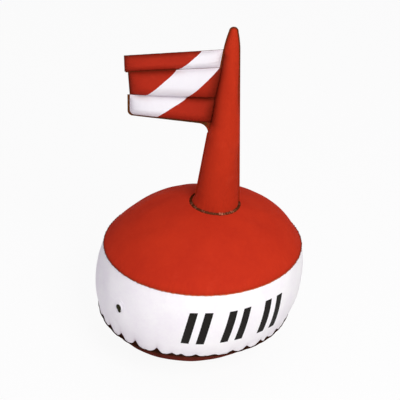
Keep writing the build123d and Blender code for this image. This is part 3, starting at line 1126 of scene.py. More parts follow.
    def notch_shade_backing(self) -> Surface:
        """Lap of the lower panel behind the white film's drawn up edge, near black as painted shade in the
        notches.

        Returns:
            A closed strip that follows the band's skin from behind.
        """
        shape, azimuth = self.shape, self.azimuth
        heights = self.low_level(azimuth) + np.linspace(0.0, 2 * self.notch_h - 0.001, 9)[:, None]
        out = self.band_r(azimuth, heights) - 0.0007 - 0.0006 * self.notches.depth(azimuth)
        inner = shape.turned(shape.seam_r - self.weld_in, azimuth, heights[[-1, 0]])
        return wrapped(np.concatenate([shape.turned(out, azimuth, heights), inner]), closed=True)

    def on_skin(self, azimuth: np.ndarray, height: np.ndarray, lift: Any) -> Surface:
        """Thin patch that follows the band's skin.

        Args:
            azimuth: azimuths of its points.
            height: their heights.
            lift: how far its face stands off the skin.

        Returns:
            The patch, with its back sunk in the band.
        """
        radius = self.band_r(azimuth, height)
        back = self.shape.turned(radius - self.sunk, azimuth, height)
        return slab(self.shape.turned(radius + lift, azimuth, height), back)

    def print_marks(self) -> Surface:
        """Pairs of slanted bars of ink.

        Returns:
            All the bars.
        """
        rise = np.linspace(-0.5, 0.5, 40)[:, None] * self.mark_h
        side = np.linspace(-0.5, 0.5, 14)[None, :] * self.mark_stroke
        off = (self.mark_stroke + self.mark_gap) / 2
        bars = []
        for middle in self.mark_azimuths:
            for across in (-off, off):
                shift = (across + side + rise * math.tan(self.mark_slant)) / self.shape.belly_r
                bars.append(self.on_skin(math.radians(middle) + shift, self.shape.mid_z + rise, self.ink_t))
        return joined(bars)

    def lap_weld(self) -> Surface:
        """Upright strip where the band's ends overlap, with a flat crown and thin sides.

        Returns:
            The strip.
        """
        low, high = self.shape.lower_z + self.lap_ends[0], self.shape.upper_z - self.lap_ends[1]
        height = np.linspace(low, high, 60)[:, None]
        side = np.linspace(-0.5, 0.5, 9)[None, :] * self.lap_w
        crown = FILM_T * (1 - (2 * side / self.lap_w) ** 8)
        return self.on_skin(self.lap_azimuth + side / self.shape.belly_r, height, self.lap_lift + crown)

    def build(self, wardrobe: Wardrobe) -> None:
        """Make and dress every piece of the float.

        Args:
            wardrobe: maker of the pieces.
        """
        wardrobe.make("side_band_film", self.band(), Finish.WHITE, "side_band")
        for upper, panel in ((True, self.top), (False, self.low)):
            wardrobe.make(f"{panel.node}_film", self.dome(upper), panel.finish, panel.node)
        wardrobe.make("top_seam_weld", self.seam(True), Finish.TOP_WELD, "top_seam")
        lower = joined([self.seam(False), self.notch_shade_backing()])
        wardrobe.make("bottom_seam_weld", lower, Finish.LOW_WELD_SHADED, "bottom_seam")
        wardrobe.make("band_print", self.print_marks(), Finish.PRINT, "print_marks")
        wardrobe.make("band_lap_strip", self.lap_weld(), Finish.WHITE, "band_lap_weld")


# Mast and flag


@dataclass(frozen=True)
class MastShape:
    """Inflated spike: a straight taper, a swelling point and a round tip, on a leaning axis."""

    foot: Spot
    lean: float = math.radians(4.0)
    foot_r: float = 0.0402
    neck_r: float = 0.0120
    taper_h: float = 0.3003
    point_h: float = 0.0365
    tip_r: float = 0.0059
    swell: float = 0.0006

    @property
    def height(self) -> float:
        """Length along the axis to the tip."""
        return self.taper_h + self.point_h

    @property
    def ball_h(self) -> float:
        """Height along the axis of the middle of the round tip."""
        return self.height - self.tip_r

    def taper(self, along: Any) -> Any:
        """Radius of the straight taper at a height along the axis."""
        return self.foot_r + (self.neck_r - self.foot_r) * along / self.taper_h

    def radius(self, along: np.ndarray) -> np.ndarray:
        """Radius at any height: taper, then the point's bow, then a half sphere at the tip.

        Args:
            along: heights along the axis.

        Returns:
            Radii.
        """
        share = np.clip((along - self.taper_h) / (self.ball_h - self.taper_h), 0, 1)
        point = between(self.neck_r, self.tip_r, share, bow=self.swell)
        over = np.clip(along - self.ball_h, 0, self.tip_r)
        ball = np.sqrt(np.clip(self.tip_r ** 2 - over ** 2, 0, None))
        return np.where(along < self.taper_h, self.taper(along), np.where(along < self.ball_h, point, ball))

    def placed(self, points: np.ndarray) -> np.ndarray:
        """Points on the mast's own upright axis, put in their place on the buoy."""
        cos, sin = math.cos(self.lean), math.sin(self.lean)
        x, y, z = points[..., 0], points[..., 1], points[..., 2]
        return np.stack([x * cos + z * sin, y, z * cos - x * sin], -1) + np.array(self.foot)


@dataclass
class Mast:
    """Mast skin and the gathered weld round its foot."""

    shape: MastShape
    drum: FloatShape
    divisions: int = 192
    rows: int = 220
    tip_crowd: float = 1.25  # how much the rows crowd to the tip
    edge_gathers: Gathers = Gathers(count=21, seed=21, width=0.3, length=0.34, closed=False)
    foot_gathers: Gathers = Gathers(count=30, seed=22, width=0.3)
    weld_gathers: Gathers = Gathers(count=34, seed=23, width=0.34, uneven=0.7)
    dents: Dents = Dents(seed=24, turns=(1, 6), climb=(-60.0, 60.0))
    dent: float = 0.0008
    sunk: float = 0.002  # how far the skin goes on into the float
    plain_tip: float = 0.02  # length at the tip without puckers
    edge_pucker: float = 0.0008  # depth of the puckers along the side welds
    edge_stagger: float = 0.006  # how far one side's puckers are above the other's
    edge_width: float = 0.55  # reach of the puckers round the mast
    edge_line: float = 0.12  # width of the painted shade along the side welds
    edge_shade: float = 0.5
    creases: Fade = Fade(0.0013, 0.011)  # creases round the foot
    hem: Fade = Fade(0.0012, 0.003)  # turn of the film where it meets the float
    foot_shade: Fade = Fade(0.8, 0.002)
    ring_w: float = 0.0046  # width of the foot weld
    ring_points: int = 420
    flare: float = 0.0068  # how far the foot spreads towards -X
    flare_turn: float = math.radians(8)
    flare_fade: Fade = Fade(1.0, 0.009)
    flag_h: float = 0.150  # height of the flag along the mast
    flag_shade: float = 0.85  # painted shade on the mast beside the flag
    flag_width: float = 0.85  # its half width in radians
    lit_angle: float = math.radians(-82)  # where light catches the foot weld
    # share of the weld's width from the mast's skin, lift off the dome, and whether the crest ripples
    profile: tuple[tuple[float, float, bool], ...] = (
        (-0.2, -0.0030, False), (-0.2, 0.0010, False), (0.05, 0.0022, True), (0.28, 0.0015, True),
        (0.55, 0.0022, True), (0.80, 0.0010, True), (1.0, 0.0002, False), (1.0, -0.0015, False),
    )

    def spread(self, angle: np.ndarray) -> np.ndarray:
        """How far the foot spreads at each angle: a hump round -X, nothing at the front and right."""
        return self.flare * (0.5 - 0.5 * np.cos(angle + self.flare_turn)) ** 4

    def foot_heights(self, angle: np.ndarray) -> np.ndarray:
        """Height along the axis at which the skin meets the float.

        The height is moved by its vertical distance from the dome until that is nothing.

        Args:
            angle: angles round the mast.

        Returns:
            A height for each angle.
        """
        along = np.zeros_like(angle)
        for _ in range(12):
            point = self.shape.placed(polar(self.shape.taper(along), angle, along))
            along = along - (point[..., 2] - self.drum.dome_z(point[..., 0], point[..., 1]))
        return along

    def skin(self) -> Surface:
        """Mast skin by rows of height from its foot on the float to its tip.

        The taper is puckered at both side welds, creased and spread at the foot and softly
        dented between. Painted shade follows the welds, the foot and the flag's root.

        Returns:
            The skin, with its painted shade.
        """
        shape = self.shape
        angle = np.linspace(0, TAU, self.divisions, endpoint=False)
        foot = self.foot_heights(angle) - self.sunk
        along = between(foot, shape.height, 1 - (1 - np.linspace(0, 1, self.rows)[:, None]) ** self.tip_crowd)
        above = along - foot
        below = shape.height - self.plain_tip - along
        to_edge = np.minimum(np.abs(np.sin(angle / 2)), np.abs(np.cos(angle / 2))) * 2
        side = hump(to_edge, self.edge_width) * ease(below / 0.05) * ease(above / 0.02)
        stagger = self.edge_stagger * np.sign(np.cos(angle))
        puckers = self.edge_pucker * self.edge_gathers.depth(along + stagger) * side
        creases = self.creases.at(above) * self.foot_gathers.depth(angle)
        soft = self.dent * self.dents.height(angle, along) * ease(above / 0.05) * ease(below / 0.1)
        flare = self.hem.at(above) + self.spread(angle) * self.flare_fade.at(above)
        radius = np.clip(shape.radius(along) - puckers - creases + soft + flare, 0, None)
        radius[-1] = 0.0
        rings = shape.placed(polar(radius, angle, along))
        middle = np.broadcast_to(rings[0].mean(0), rings[:1].shape)
        # painted shade at the foot, along the side welds and beside the flag
        fold = self.foot_shade.at(above) + self.edge_shade * side * hump(to_edge, self.edge_line)
        root = shape.taper_h - self.flag_h
        beside = ease((along - root) / 0.012) * ease((shape.taper_h - 0.004 - along) / 0.010)
        fold = fold + self.flag_shade * beside * hump(angle - math.pi, self.flag_width)
        fold = np.clip(np.concatenate([fold[:1], fold]), 0, 1)
        return wrapped(np.concatenate([middle, rings]), fold=fold)

    def foot_weld(self) -> Surface:
        """Gathered weld round the foot: a low bead on the dome whose crest and width ripple.

        Returns:
            The bead, with painted glints on the ripples at the front.
        """
        angle = np.linspace(0, TAU, self.ring_points, endpoint=False)
        ripple = self.weld_gathers.depth(angle)
        second = self.weld_gathers.depth(angle + 0.5 * TAU / self.weld_gathers.count)
        foot = self.foot_heights(angle)
        wide = self.ring_w * (0.86 + 0.2 * second)
        front = 0.5 + 0.5 * np.cos(angle - self.lit_angle)
        rings, painted_glints = [], []
        for index, (share, lift, rippled) in enumerate(self.profile):
            wave = ripple if index % 2 else second
            radius = self.shape.taper(foot) + self.spread(angle) + share * wide
            point = self.shape.placed(polar(radius, angle, foot))
            rise = lift * (0.5 + 0.75 * wave) if rippled else lift
            point[..., 2] = self.drum.dome_z(point[..., 0], point[..., 1]) + rise
            rings.append(point)
            # painted glints where the light catches the front of the ripples
            painted_glints.append(front ** 2 * (0.08 + np.clip(2.4 * wave - 1.2, 0, 0.85)) * rippled)
        return wrapped(np.stack(rings), closed=True, crest=np.stack(painted_glints))

    def build(self, wardrobe: Wardrobe) -> None:
        """Make and dress the mast and its foot weld."""
        wardrobe.make("mast_film", self.skin(), Finish.RED_MAST_SHADED, "mast")
        wardrobe.make("mast_foot_weld", self.foot_weld(), Finish.FOOT_WELD, "mast_base_ring")


class TubePart(Enum):
    """Parts of a flag tube along its length, from the mast to the fly end."""

    ROOT = 0
    STRIPE = 1
    FLY = 2


@dataclass(frozen=True)
class StripeEdge:
    """Edge of the white stripe on one tube, measured from the mast's axis towards the fly end."""

    above: float  # where it crosses the tube's upper weld line
    below: float  # where it crosses the lower weld line
    bow: float = 0.0  # how far it bows towards the fly end between them


@dataclass(frozen=True)
class FlagTube:
    """One inflated tube of the flag, between two weld lines."""

    node: str
    film: str  # name of its red piece
    half: float  # half thickness
    upper: Pair  # drop of its upper weld line at the mast and at the fly end
    lower: Pair  # drop of its lower weld line
    fly: Pair  # reach from the mast's axis of its upper and lower fly corner
    stripe: tuple[StripeEdge, StripeEdge]  # edge nearer the mast and edge nearer the fly end
    seed: int
    hem_above: float = 0.0001  # width of the bare weld along the film's upper edge
    hem_below: float = 0.0001
    hem_fly: float = 0.0012
    hem_root: float = -0.0030  # below 0 the film runs into the mast
    bow: float = 0.0  # how far the middle of the fly end bulges out
    corner: float = 0.003  # rounding of the film's lower fly corner

    @property
    def widths(self) -> Pair:
        """Width of the film at the mast and at the fly end."""
        hems = self.hem_above + self.hem_below
        return self.lower[0] - self.upper[0] - hems, self.lower[1] - self.upper[1] - hems


@dataclass
class Flag:
    """Flag of three tubes with a slanting white stripe, and the flat weld round mast and flag."""

    mast: MastShape
    flange_w: float = 0.0025
    flange_in: float = 0.004  # how far the flange reaches in under the films
    ruffle: float = 0.0006  # how far its outer edge waves
    sheet_t: float = 0.001
    film_half: float = 0.0008  # half thickness where the two films lie together
    flat_w: float = 0.0014  # width of that at each weld
    crotch_r: float = 0.019
    fly_r: float = 0.010  # rounding of the flange's lower fly corner
    root_shade: Pair = (0.9, 0.022)  # painted shade on the red film beside the mast, and its length
    end_l: float = 0.034  # length over which a tube swells from its closed end
    rows: int = 40
    cols: int = 96
    # number of puckers and the run that they share, along the upper weld, the lower weld and an end
    puckers: tuple[tuple[int, float], ...] = ((15, 0.19), (14, 0.19), (5, 1.0))
    weld_pucker: Fade = Fade(0.0013, 0.007)
    end_pucker: Fade = Fade(0.0014, 0.012)
    full: float = 0.005  # thickness past which a pucker has its whole depth
    dent: float = 0.0007
    weld_shade: Fade = Fade(0.85, 0.0030)
    end_shade: float = 0.9
    end_fades: Pair = (0.017, 0.005)  # length of that shade at the mast and at the fly end
    tubes: tuple[FlagTube, ...] = (
        FlagTube(
            "flag_upper_tube", "flag_upper_film", 0.0105,
            (0.0035, 0.0286), (0.0367, 0.0583), (0.1862, 0.1838),
            (StripeEdge(-0.0108, 0.0180), StripeEdge(0.0517, 0.0885, 0.0015)), seed=40,
            hem_above=0.0005, hem_root=0.0030, bow=0.0012,
        ),
        FlagTube(
            "flag_middle_tube", "flag_middle_film", 0.017,
            (0.0367, 0.0583), (0.0957, 0.1010), (0.1780, 0.1728),
            (StripeEdge(0.0180, 0.0722, 0.0030), StripeEdge(0.0925, 0.1440, 0.0040)), seed=50,
        ),
        FlagTube(
            "flag_lower_tube", "flag_lower_film", 0.016,
            (0.0957, 0.1010), (0.1465, 0.1412), (0.1768, 0.1752),
            (StripeEdge(0.0700, 0.1240, 0.0070), StripeEdge(0.1440, 0.1900)), seed=60,
            hem_below=0.0025, hem_fly=0.0045, corner=0.009,
        ),
    )
    dents: Dents = Dents(seed=31, turns=(2, 6), climb=(-55.0, 55.0))

    @property
    def root_low(self) -> float:
        """Height along the mast at which the flag's lower edge meets it."""
        return self.mast.taper_h - self.tubes[-1].lower[0]

    @property
    def crotch(self) -> Pair:
        """Centre of the rounding between the flag's lower edge and the mast."""
        return -self.mast.taper(self.root_low) - self.flange_w - self.crotch_r, self.root_low - self.crotch_r

    def ends(self, tube: FlagTube, across: np.ndarray) -> tuple[tuple[Any, Any], tuple[Any, Any]]:
        """Ends of the lines along a tube; the lower fly corner is rounded by a quarter circle.

        Args:
            tube: the tube.
            across: places across it, 0 below and 1 above.

        Returns:
            Places (x, height) at the mast and at the fly end.
        """
        top = self.mast.taper_h
        low = [top - drop + tube.hem_below for drop in tube.lower]
        high = [top - drop - tube.hem_above for drop in tube.upper]
        h_root, h_fly = (between(low[end], high[end], across) for end in (0, 1))
        x_root = -self.mast.taper(h_root) - tube.hem_root
        reach = between(tube.fly[1], tube.fly[0], across, bow=tube.bow)
        cut = np.clip(1 - across * (high[1] - low[1]) / tube.corner, 0, 1)
        x_fly = tube.hem_fly - reach + tube.corner * (1 - np.sqrt(1 - cut ** 2))
        return (x_root, h_root), (x_fly, h_fly)

    def stripe_share(self, tube: FlagTube, across: np.ndarray, edge: StripeEdge) -> np.ndarray:
        """Share of a tube's length at which an edge of the stripe crosses it."""
        (x_root, _), (x_fly, _) = self.ends(tube, across)
        reach = between(edge.below, edge.above, across, bow=edge.bow)
        return np.clip((x_root + reach) / (x_root - x_fly), 0.0, 1.0)

    def side(
        self, tube: FlagTube, share: np.ndarray, across: np.ndarray, front: bool
    ) -> tuple[np.ndarray, np.ndarray]:
        """One side of a tube's skin.

        Its half thickness is an ellipse between the flat welds across the tube, times an ellipse
        at each closed end, less puckers square to the welds that fade away from them.

        Args:
            tube: the tube.
            share: place along it, 0 at the mast and 1 at the fly end.
            across: place across it, 0 at the lower weld and 1 at the upper.
            front: whether this is the side towards -Y.

        Returns:
            Points in the mast's own frame, and the painted shade of each.
        """
        (x_root, h_root), (x_fly, h_fly) = self.ends(tube, across)
        x, height = between(x_root, x_fly, share), between(h_root, h_fly, share)
        wide = between(*tube.widths, share)
        to_weld = np.minimum(across, 1 - across) * wide
        to_end = np.minimum(share, 1 - share) * (x_root - x_fly)
        rise = np.clip((to_weld - self.flat_w) / (wide / 2 - self.flat_w), 0, 1)
        way = np.clip((to_end - self.flat_w) / self.end_l, 0, 1)
        swell = np.sqrt(1 - (1 - rise) ** 2) * np.sqrt(1 - (1 - way) ** 2)
        above, below, ends = (
            Gathers(count, tube.seed + 3 * front + step, 0.3, length=run, closed=False)
            for step, (count, run) in enumerate(self.puckers)
        )
        pucker = np.where(across > 0.5, above.depth(-x), below.depth(-x)) * self.weld_pucker.at(to_weld)
        pucker = pucker + ends.depth(across) * self.end_pucker.at(to_end)
        soft = self.dent * self.dents.height(across * 3.0, x + 0.3 * front) * swell
        full = tube.half * swell
        half = self.film_half + np.clip(full - pucker * np.clip(full / self.full, 0, 1) + soft, 0, None)
        # painted shade along the welds and at the closed ends
        at_end = self.end_shade * np.exp(-to_end / np.where(share < 0.5, *self.end_fades))
        points = np.stack([x, (-half if front else half), height], -1)
        return points, np.clip(self.weld_shade.at(to_weld) + at_end, 0, 1)

    def part(self, tube: FlagTube, kind: TubePart) -> Surface | None:
        """One coloured part of a tube as a closed shell.

        Args:
            tube: the tube.
            kind: which part.

        Returns:
            The part, or nothing where the stripe leaves none.
        """
        across = crowd(self.rows, 0.6)[:, None]
        low, high = (self.stripe_share(tube, across, edge) for edge in tube.stripe)
        if tube is self.tubes[-1]:
            high = np.ones_like(high)
        bounds = [np.zeros_like(low), low, high, np.ones_like(high)]
        start, stop = bounds[kind.value:kind.value + 2]
        if np.max(stop - start) < 0.01:
            return None
        share = between(start, stop, crowd(self.cols, 0.5)[None, :])
        grid = np.broadcast_to(across, share.shape)
        (front, fold), (back, painted_shade_back) = (self.side(tube, share, grid, facing) for facing in (True, False))
        # painted shade on the red film beside the mast
        if kind is TubePart.ROOT:
            shade = self.root_shade[0] * hump(share * tube.fly[0], self.root_shade[1])
            fold, painted_shade_back = np.maximum(fold, shade), np.maximum(painted_shade_back, shade)
        return slab(front, back, fold=(fold, painted_shade_back)).moved(self.mast.placed)

    def film(self, wardrobe: Wardrobe) -> None:
        """Make the red parts tube by tube, and the white stripe as one piece.

        Args:
            wardrobe: maker of the pieces.
        """
        stripe = []
        for tube in self.tubes:
            root, white, fly = (self.part(tube, kind) for kind in TubePart)
            red = joined([part for part in (root, fly) if part])
            stripe.append(white)
            wardrobe.make(tube.film, red, Finish.RED_FLAG_SHADED, tube.node, crease=60.0)
        wardrobe.make(
            "flag_stripe_film", joined(stripe), Finish.WHITE_STRIPE_SHADED, "flag_stripe", crease=60.0
        )

    def ribbon(
        self, path: np.ndarray, width: float, half: float, ruffle: float = 0.0, seed: int = 1
    ) -> Surface:
        """Flat welded strip: its outer edge is the path and its inner edge lies to the path's right.

        Args:
            path: points (x, height) of the outer edge in the mast's own frame.
            width: width of the strip.
            half: half of its thickness.
            ruffle: how far the outer edge waves to and fro.
            seed: draw of the waves.

        Returns:
            The strip, in place on the buoy: clean red low down beside the mast, darker towards
            its tip and dark round the flag.
        """
        run = np.gradient(path, axis=0)
        run /= np.linalg.norm(run, axis=1)[:, None]
        right = np.stack([run[:, 1], -run[:, 0]], -1)
        inward = np.array([0.0, 0.3, 1.0])
        place = path[None] + inward[:, None, None] * width * right[None]
        length = np.concatenate([[0.0], np.cumsum(np.linalg.norm(np.diff(path, axis=0), axis=1))])
        count = max(2, round(length[-1] / 0.012))
        wave = Gathers(count, seed, 0.35, length=length[-1], closed=False, uneven=0.9).depth(length) - 0.5
        shift = ruffle * wave[None] * (1 - inward)[:, None]
        thick = half * np.array([0.6, 1.0, 1.0])[:, None]
        sides = [np.stack([place[..., 0], shift + sign * thick, place[..., 1]], -1) for sign in (-1, 1)]
        strip = slab(*sides)
        x, height = strip.points[:, 0], strip.points[:, 2]
        beside = np.abs(x) < self.mast.radius(height) + 0.004
        crest = beside * (0.15 + 0.75 * ease((self.mast.taper_h - height) / 0.16))
        return Surface(self.mast.placed(strip.points), strip.faces, {"crest": crest})

    def outline(self) -> np.ndarray:
        """Outer edge of mast and flag, from the mast's foot on the right over the tip and round the flag.

        Returns:
            Points (x, height) in the mast's own frame.
        """
        mast, edge, top = self.mast, self.flange_w, self.mast.taper_h

        def beside(along: np.ndarray, side: int) -> np.ndarray:
            """Edge beside the mast, to its right (1) or left (-1)."""
            return np.stack([side * (mast.radius(along) + edge), along], -1)

        root_top = top - self.tubes[0].upper[0]
        corners = []
        for tube in self.tubes:
            corners += [(-tube.fly[0], top - tube.upper[1]), (-tube.fly[1], top - tube.lower[1])]
        low_x, low_h = corners.pop()
        inner = (low_x + self.fly_r, low_h + self.fly_r)
        return np.concatenate([
            beside(np.linspace(0.0, mast.ball_h, 100), 1),
            arc((0.0, mast.ball_h), mast.tip_r + edge, (0, 180), 30),
            beside(np.linspace(mast.ball_h, root_top + 0.001, 24), -1),
            straight((-float(mast.radius(np.array(root_top))) - edge, root_top), corners[0]),
            *(straight(first, second) for first, second in zip(corners, corners[1:])),
            straight(corners[-1], (low_x, inner[1])),
            arc(inner, self.fly_r, (180, 270)),
            straight((inner[0], low_h), (self.crotch[0], self.root_low)),
            arc(self.crotch, self.crotch_r, (90, 5)),
            beside(np.linspace(self.crotch[1], 0.0, 40), -1),
        ])

    def root_weld(self) -> Surface:
        """Weld that closes the upper tube against the mast, where the dark edge shows beside the white."""
        rise = self.mast.taper_h - np.linspace(self.tubes[0].lower[0] + 0.002, self.tubes[0].upper[0], 30)
        path = np.stack([-self.mast.taper(rise) - 0.0034, rise], -1)
        return self.ribbon(path, 0.005, self.film_half + 0.0003)

    def tube_welds(self) -> list[Surface]:
        """Flat welds between neighbouring tubes, just under their films.

        Returns:
            A strip for each pair of tubes.
        """
        welds = []
        for tube in self.tubes[:-1]:
            height = self.mast.taper_h - np.linspace(*tube.lower, 60) - 0.0015
            start = -float(self.mast.taper(height[0])) + 0.003
            path = np.stack([np.linspace(start, 0.002 - tube.fly[1], 60), height], -1)
            welds.append(self.ribbon(path, 0.003, self.film_half - 0.0002))
        return welds

    def crotch_web(self, into_mast: float = 0.007, into_tube: float = 0.009, crest: float = 0.4) -> Surface:
        """Flat gusset that fills the rounded corner between the flag's lower edge and the mast.

        Args:
            into_mast: how far its hidden corner lies inside the mast.
            into_tube: how far that lies above the flag's lower edge.
            crest: how red it is.

        Returns:
            The gusset.
        """
        edge = arc(self.crotch, self.crotch_r, (90, 5), 16, endpoint=True)
        corner = np.array([into_mast - self.mast.taper(self.root_low), self.root_low + into_tube])
        grid = between(edge[None], corner, np.linspace(0, 1, 8)[:, None, None])
        x, height = grid[..., 0], grid[..., 1]
        sides = [np.stack([x, np.full_like(x, sign * self.sheet_t / 2), height], -1) for sign in (-1, 1)]
        return slab(*sides, crest=(np.full_like(x, crest), np.full_like(x, crest))).moved(self.mast.placed)

    def build(self, wardrobe: Wardrobe) -> None:
        """Make and dress the flag's film and the flat weld.

        Args:
            wardrobe: maker of the pieces.
        """
        self.film(wardrobe)
        width = self.flange_w + self.flange_in
        rim = self.ribbon(self.outline()[::-1], width, self.sheet_t / 2, self.ruffle, seed=3)
        welds = joined([rim, self.root_weld(), self.crotch_web(), *self.tube_welds()])
        wardrobe.make("mast_edge_weld", welds, Finish.EDGE_WELD, "mast_weld_flange", crease=40.0)


# Valve and line fixing


@dataclass
class Valve:
    """Push-in valve on the band: welded disc, moulded stem and plug."""

    drum: FloatDrum
    azimuth: float = math.radians(-46.3)
    rise: float = 0.005
    disc_t: float = 0.0008
    tab_r: float = 0.0035  # half width of the pull tab
    tab_l: float = 0.0064  # from the head's middle to the middle of the tab's round end
    tab_turn: float = math.radians(24)
    # radius and lift in film thicknesses, from the hole out to the rim
    disc_rings: tuple[Pair, ...] = (
        (0.0068, -2.0), (0.0068, 1.0), (0.0082, 0.9), (0.0094, 0.5), (0.0126, 0.45), (0.0132, 0.6),
        (0.0138, 0.5), (0.014, 0.0), (0.014, -2.0),
    )
    # radius and height off the skin, from the shank's end to the head's middle
    plug_rings: tuple[Pair, ...] = (
        (0.0, -0.008), (0.0024, -0.008), (0.0029, -0.0075), (0.0029, 0.0023), (0.0058, 0.0023),
        (0.0062, 0.0027), (0.0062, 0.0034), (0.0057, 0.004), (0.0044, 0.0043), (0.0036, 0.0041), (0.0, 0.004),
    )
    # inset from the tab's outline and height off the skin
    tab_rings: tuple[Pair, ...] = (
        (0.0035, 0.0027), (0.0005, 0.0027), (0.0, 0.0031), (0.0, 0.0042), (0.0006, 0.0047), (0.0035, 0.0047),
    )

    def disc(self) -> Surface:
        """Round patch that follows the band's skin, with a raised rim and a hole for the stem.

        Returns:
            The disc.
        """
        shape = self.drum.shape
        turn = np.linspace(0, TAU, 96, endpoint=False)
        rings = []
        for radius, lift in self.disc_rings:
            azimuth = self.azimuth + radius * np.cos(turn) / shape.belly_r
            height = shape.mid_z + self.rise + radius * np.sin(turn)
            out = self.drum.band_r(azimuth, height) + lift * self.disc_t
            rings.append(shape.turned(out, azimuth, height))
        return wrapped(np.stack(rings), closed=True)

    def set_on(self, points: np.ndarray) -> np.ndarray:
        """Put points of the valve in place on the band's skin.

        Args:
            points: places across, up and out of the valve.

        Returns:
            Places on the buoy.
        """
        shape = self.drum.shape
        out = np.array([math.sin(self.azimuth), -math.cos(self.azimuth), 0.0])
        across = np.array([math.cos(self.azimuth), math.sin(self.azimuth), 0.0])
        seat = shape.belly_r * out + np.array([shape.lean * self.rise, 0.0, shape.mid_z + self.rise])
        return seat + points @ np.stack([across, np.array([0.0, 0.0, 1.0]), out])

    def plug(self) -> Surface:
        """Plug with a rounded head on its shank, and a pull tab that hangs from the head.

        Returns:
            The plug.
        """
        turn = np.linspace(0, TAU, 48, endpoint=False)
        head = np.stack([polar(radius, turn, out) for radius, out in self.plug_rings])
        tab = np.stack([polar(self.tab_r - inset, turn, out) for inset, out in self.tab_rings])
        tab[..., 1] -= np.where(np.sin(turn) < -1e-9, self.tab_l, 0.0)
        cos, sin = math.cos(self.tab_turn), math.sin(self.tab_turn)
        tab = tab @ np.array([[cos, sin, 0.0], [-sin, cos, 0.0], [0.0, 0.0, 1.0]])
        return joined([wrapped(self.set_on(rings)) for rings in (head, tab)])

    def build(self, wardrobe: Wardrobe) -> None:
        """Make the disc and the plug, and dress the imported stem.

        Args:
            wardrobe: maker of the pieces.
        """
        wardrobe.make("valve_disc_film", self.disc(), Finish.CLEAR, "valve_disc", crease=35.0)
        wardrobe.dress(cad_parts["valve_stem"], Finish.CLEAR)
        wardrobe.make("valve_plug_moulding", self.plug(), Finish.PLUG, "valve_plug", body="plug", crease=40.0)


@dataclass
class LineFixing:
    """Patch, webbing and ring under the float."""

    finishes: tuple[tuple[str, Finish], ...] = (
        ("bottom_patch", Finish.RED_UNDER_SHADED), ("line_tab", Finish.WEBBING),
        ("line_loop", Finish.WEBBING), ("line_ring", Finish.STEEL),
    )

    def build(self, wardrobe: Wardrobe) -> None:
        """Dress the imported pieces."""
        for node, finish in self.finishes:
            wardrobe.dress(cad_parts[node], finish)


# Studio


@dataclass(frozen=True)
class Lamp:
    """Soft square lamp aimed at the buoy."""

    name: str
    place: Spot
    side: float
    watts: float
    colour: Spot = (1.0, 1.0, 1.0)
    aim: Spot = (0.0, 0.0, 0.25)

    def build(self) -> None:
        """Add the lamp."""
        data = bpy.data.lights.new(self.name, "AREA")
        data.energy, data.size, data.color = self.watts, self.side, self.colour
        lamp = bpy.data.objects.new(self.name, data)
        lamp.location = self.place
        lamp.rotation_euler = (Vector(self.aim) - Vector(self.place)).to_track_quat("-Z", "Y").to_euler()
        bpy.context.scene.collection.objects.link(lamp)


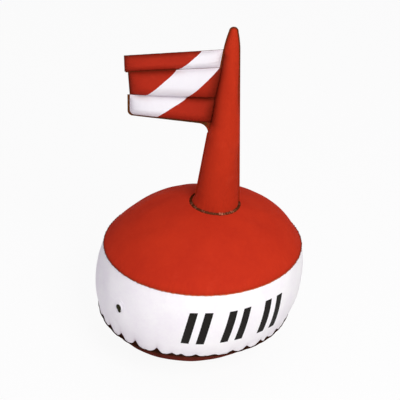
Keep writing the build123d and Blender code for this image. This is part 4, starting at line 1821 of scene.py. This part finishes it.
@dataclass
class Studio:
    """Pale floor, white surroundings, soft lamps and the camera."""

    image_px: float = 400.0
    focal_px: float = 1021.4  # focal length in pixels of the image
    sensor_mm: float = 36.0
    pitch: float = math.radians(28.934)
    roll: float = math.radians(0.631)
    target: Spot = (0.00148, 0.0, 0.3091)
    distance: float = 1.9289
    fill: float = 0.36  # strength of the surroundings on the object
    fill_colour: Colour = (0.95, 0.93, 1.0, 1)
    white: Colour = (1, 1, 1, 1)
    floor_colour: Colour = (0.80, 0.79, 0.80, 1)
    floor_glow: float = 0.93  # share of plain white in the floor that the camera sees
    floor_half: float = 6.0
    lamps: tuple[Lamp, ...] = (
        Lamp("key_lamp", (0.9, -1.8, 1.9), 1.1, 53.0, (1.0, 0.985, 0.96)),
        Lamp("left_lamp", (-2.1, -1.2, 0.5), 1.2, 12.0, (0.98, 0.92, 1.0)),
        Lamp("back_lamp", (0.6, 2.0, 1.8), 1.4, 5.0),
    )

    def camera(self) -> None:
        """Camera at the photograph's angle: a look down by the pitch, turned by the roll."""
        ahead = np.array([0.0, math.cos(self.pitch), -math.sin(self.pitch)])
        right = np.array([1.0, 0.0, 0.0])
        tilted = right * math.cos(self.roll) + np.cross(right, ahead) * math.sin(self.roll)
        turned = Matrix(np.stack([tilted, np.cross(tilted, ahead), -ahead], -1).tolist()).to_4x4()
        data = bpy.data.cameras.new("camera")
        data.sensor_fit = "HORIZONTAL"
        data.sensor_width = self.sensor_mm
        data.lens = self.sensor_mm * self.focal_px / self.image_px
        camera = bpy.data.objects.new("camera", data)
        place = np.array(self.target) - ahead * self.distance
        camera.matrix_world = Matrix.Translation(Vector(place)) @ turned
        bpy.context.scene.collection.objects.link(camera)
        bpy.context.scene.camera = camera

    def seen(self, tree: Tree) -> Any:
        """1 for rays from the camera, a mirror or clear film, else 0."""
        path = tree.node("ShaderNodeLightPath").outputs
        rays = tree.plus(path["Is Camera Ray"], path["Is Glossy Ray"])
        return tree.maths("MINIMUM", tree.plus(rays, path["Is Transmission Ray"]), 1.0)

    def surroundings(self) -> None:
        """White world to look at, which lights the object as a soft fill."""
        world = bpy.data.worlds.new("surroundings")
        world.use_nodes = True
        tree = Tree(world.node_tree)
        fill = tree.node("ShaderNodeBackground", {"Color": self.fill_colour, "Strength": self.fill})
        white = tree.node("ShaderNodeBackground", {"Color": self.white, "Strength": 1.0})
        tree.node("ShaderNodeOutputWorld", {"Surface": tree.mixed(self.seen(tree), fill, white)})
        bpy.context.scene.world = world

    def floor(self) -> None:
        """Pale floor that keeps a soft shadow and otherwise looks white."""
        material, tree = new_material("pale_floor")
        matt = tree.node("ShaderNodeBsdfDiffuse", {"Color": self.floor_colour})
        white = tree.node("ShaderNodeEmission", {"Color": self.white, "Strength": 1.0})
        share = tree.times(self.seen(tree), self.floor_glow)
        tree.node("ShaderNodeOutputMaterial", {"Surface": tree.mixed(share, matt, white)})
        mesh = bpy.data.meshes.new("floor")
        half = self.floor_half
        corners = [(-half, -half, 0), (half, -half, 0), (half, half, 0), (-half, half, 0)]
        mesh.from_pydata(corners, [], [(0, 1, 2, 3)])
        mesh.materials.append(material)
        floor = bpy.data.objects.new("floor", mesh)
        bpy.context.scene.collection.objects.link(floor)

    def build(self) -> None:
        """Set up the whole studio."""
        bpy.context.scene.view_settings.view_transform = "Standard"
        self.camera()
        self.surroundings()
        self.floor()
        for lamp in self.lamps:
            lamp.build()


def main() -> None:
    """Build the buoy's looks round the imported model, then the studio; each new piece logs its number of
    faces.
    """
    logging.basicConfig(level=logging.INFO, format="%(name)s: %(message)s")
    wardrobe = Wardrobe()
    drum = FloatDrum(FloatShape.from_frame())
    mast = MastShape(foot=(0.0332, -0.0137, drum.shape.top_z))
    drum.build(wardrobe)
    Mast(mast, drum.shape).build(wardrobe)
    Flag(mast).build(wardrobe)
    Valve(drum).build(wardrobe)
    LineFixing().build(wardrobe)
    Studio().build()


if __name__ == "__main__":
    main()
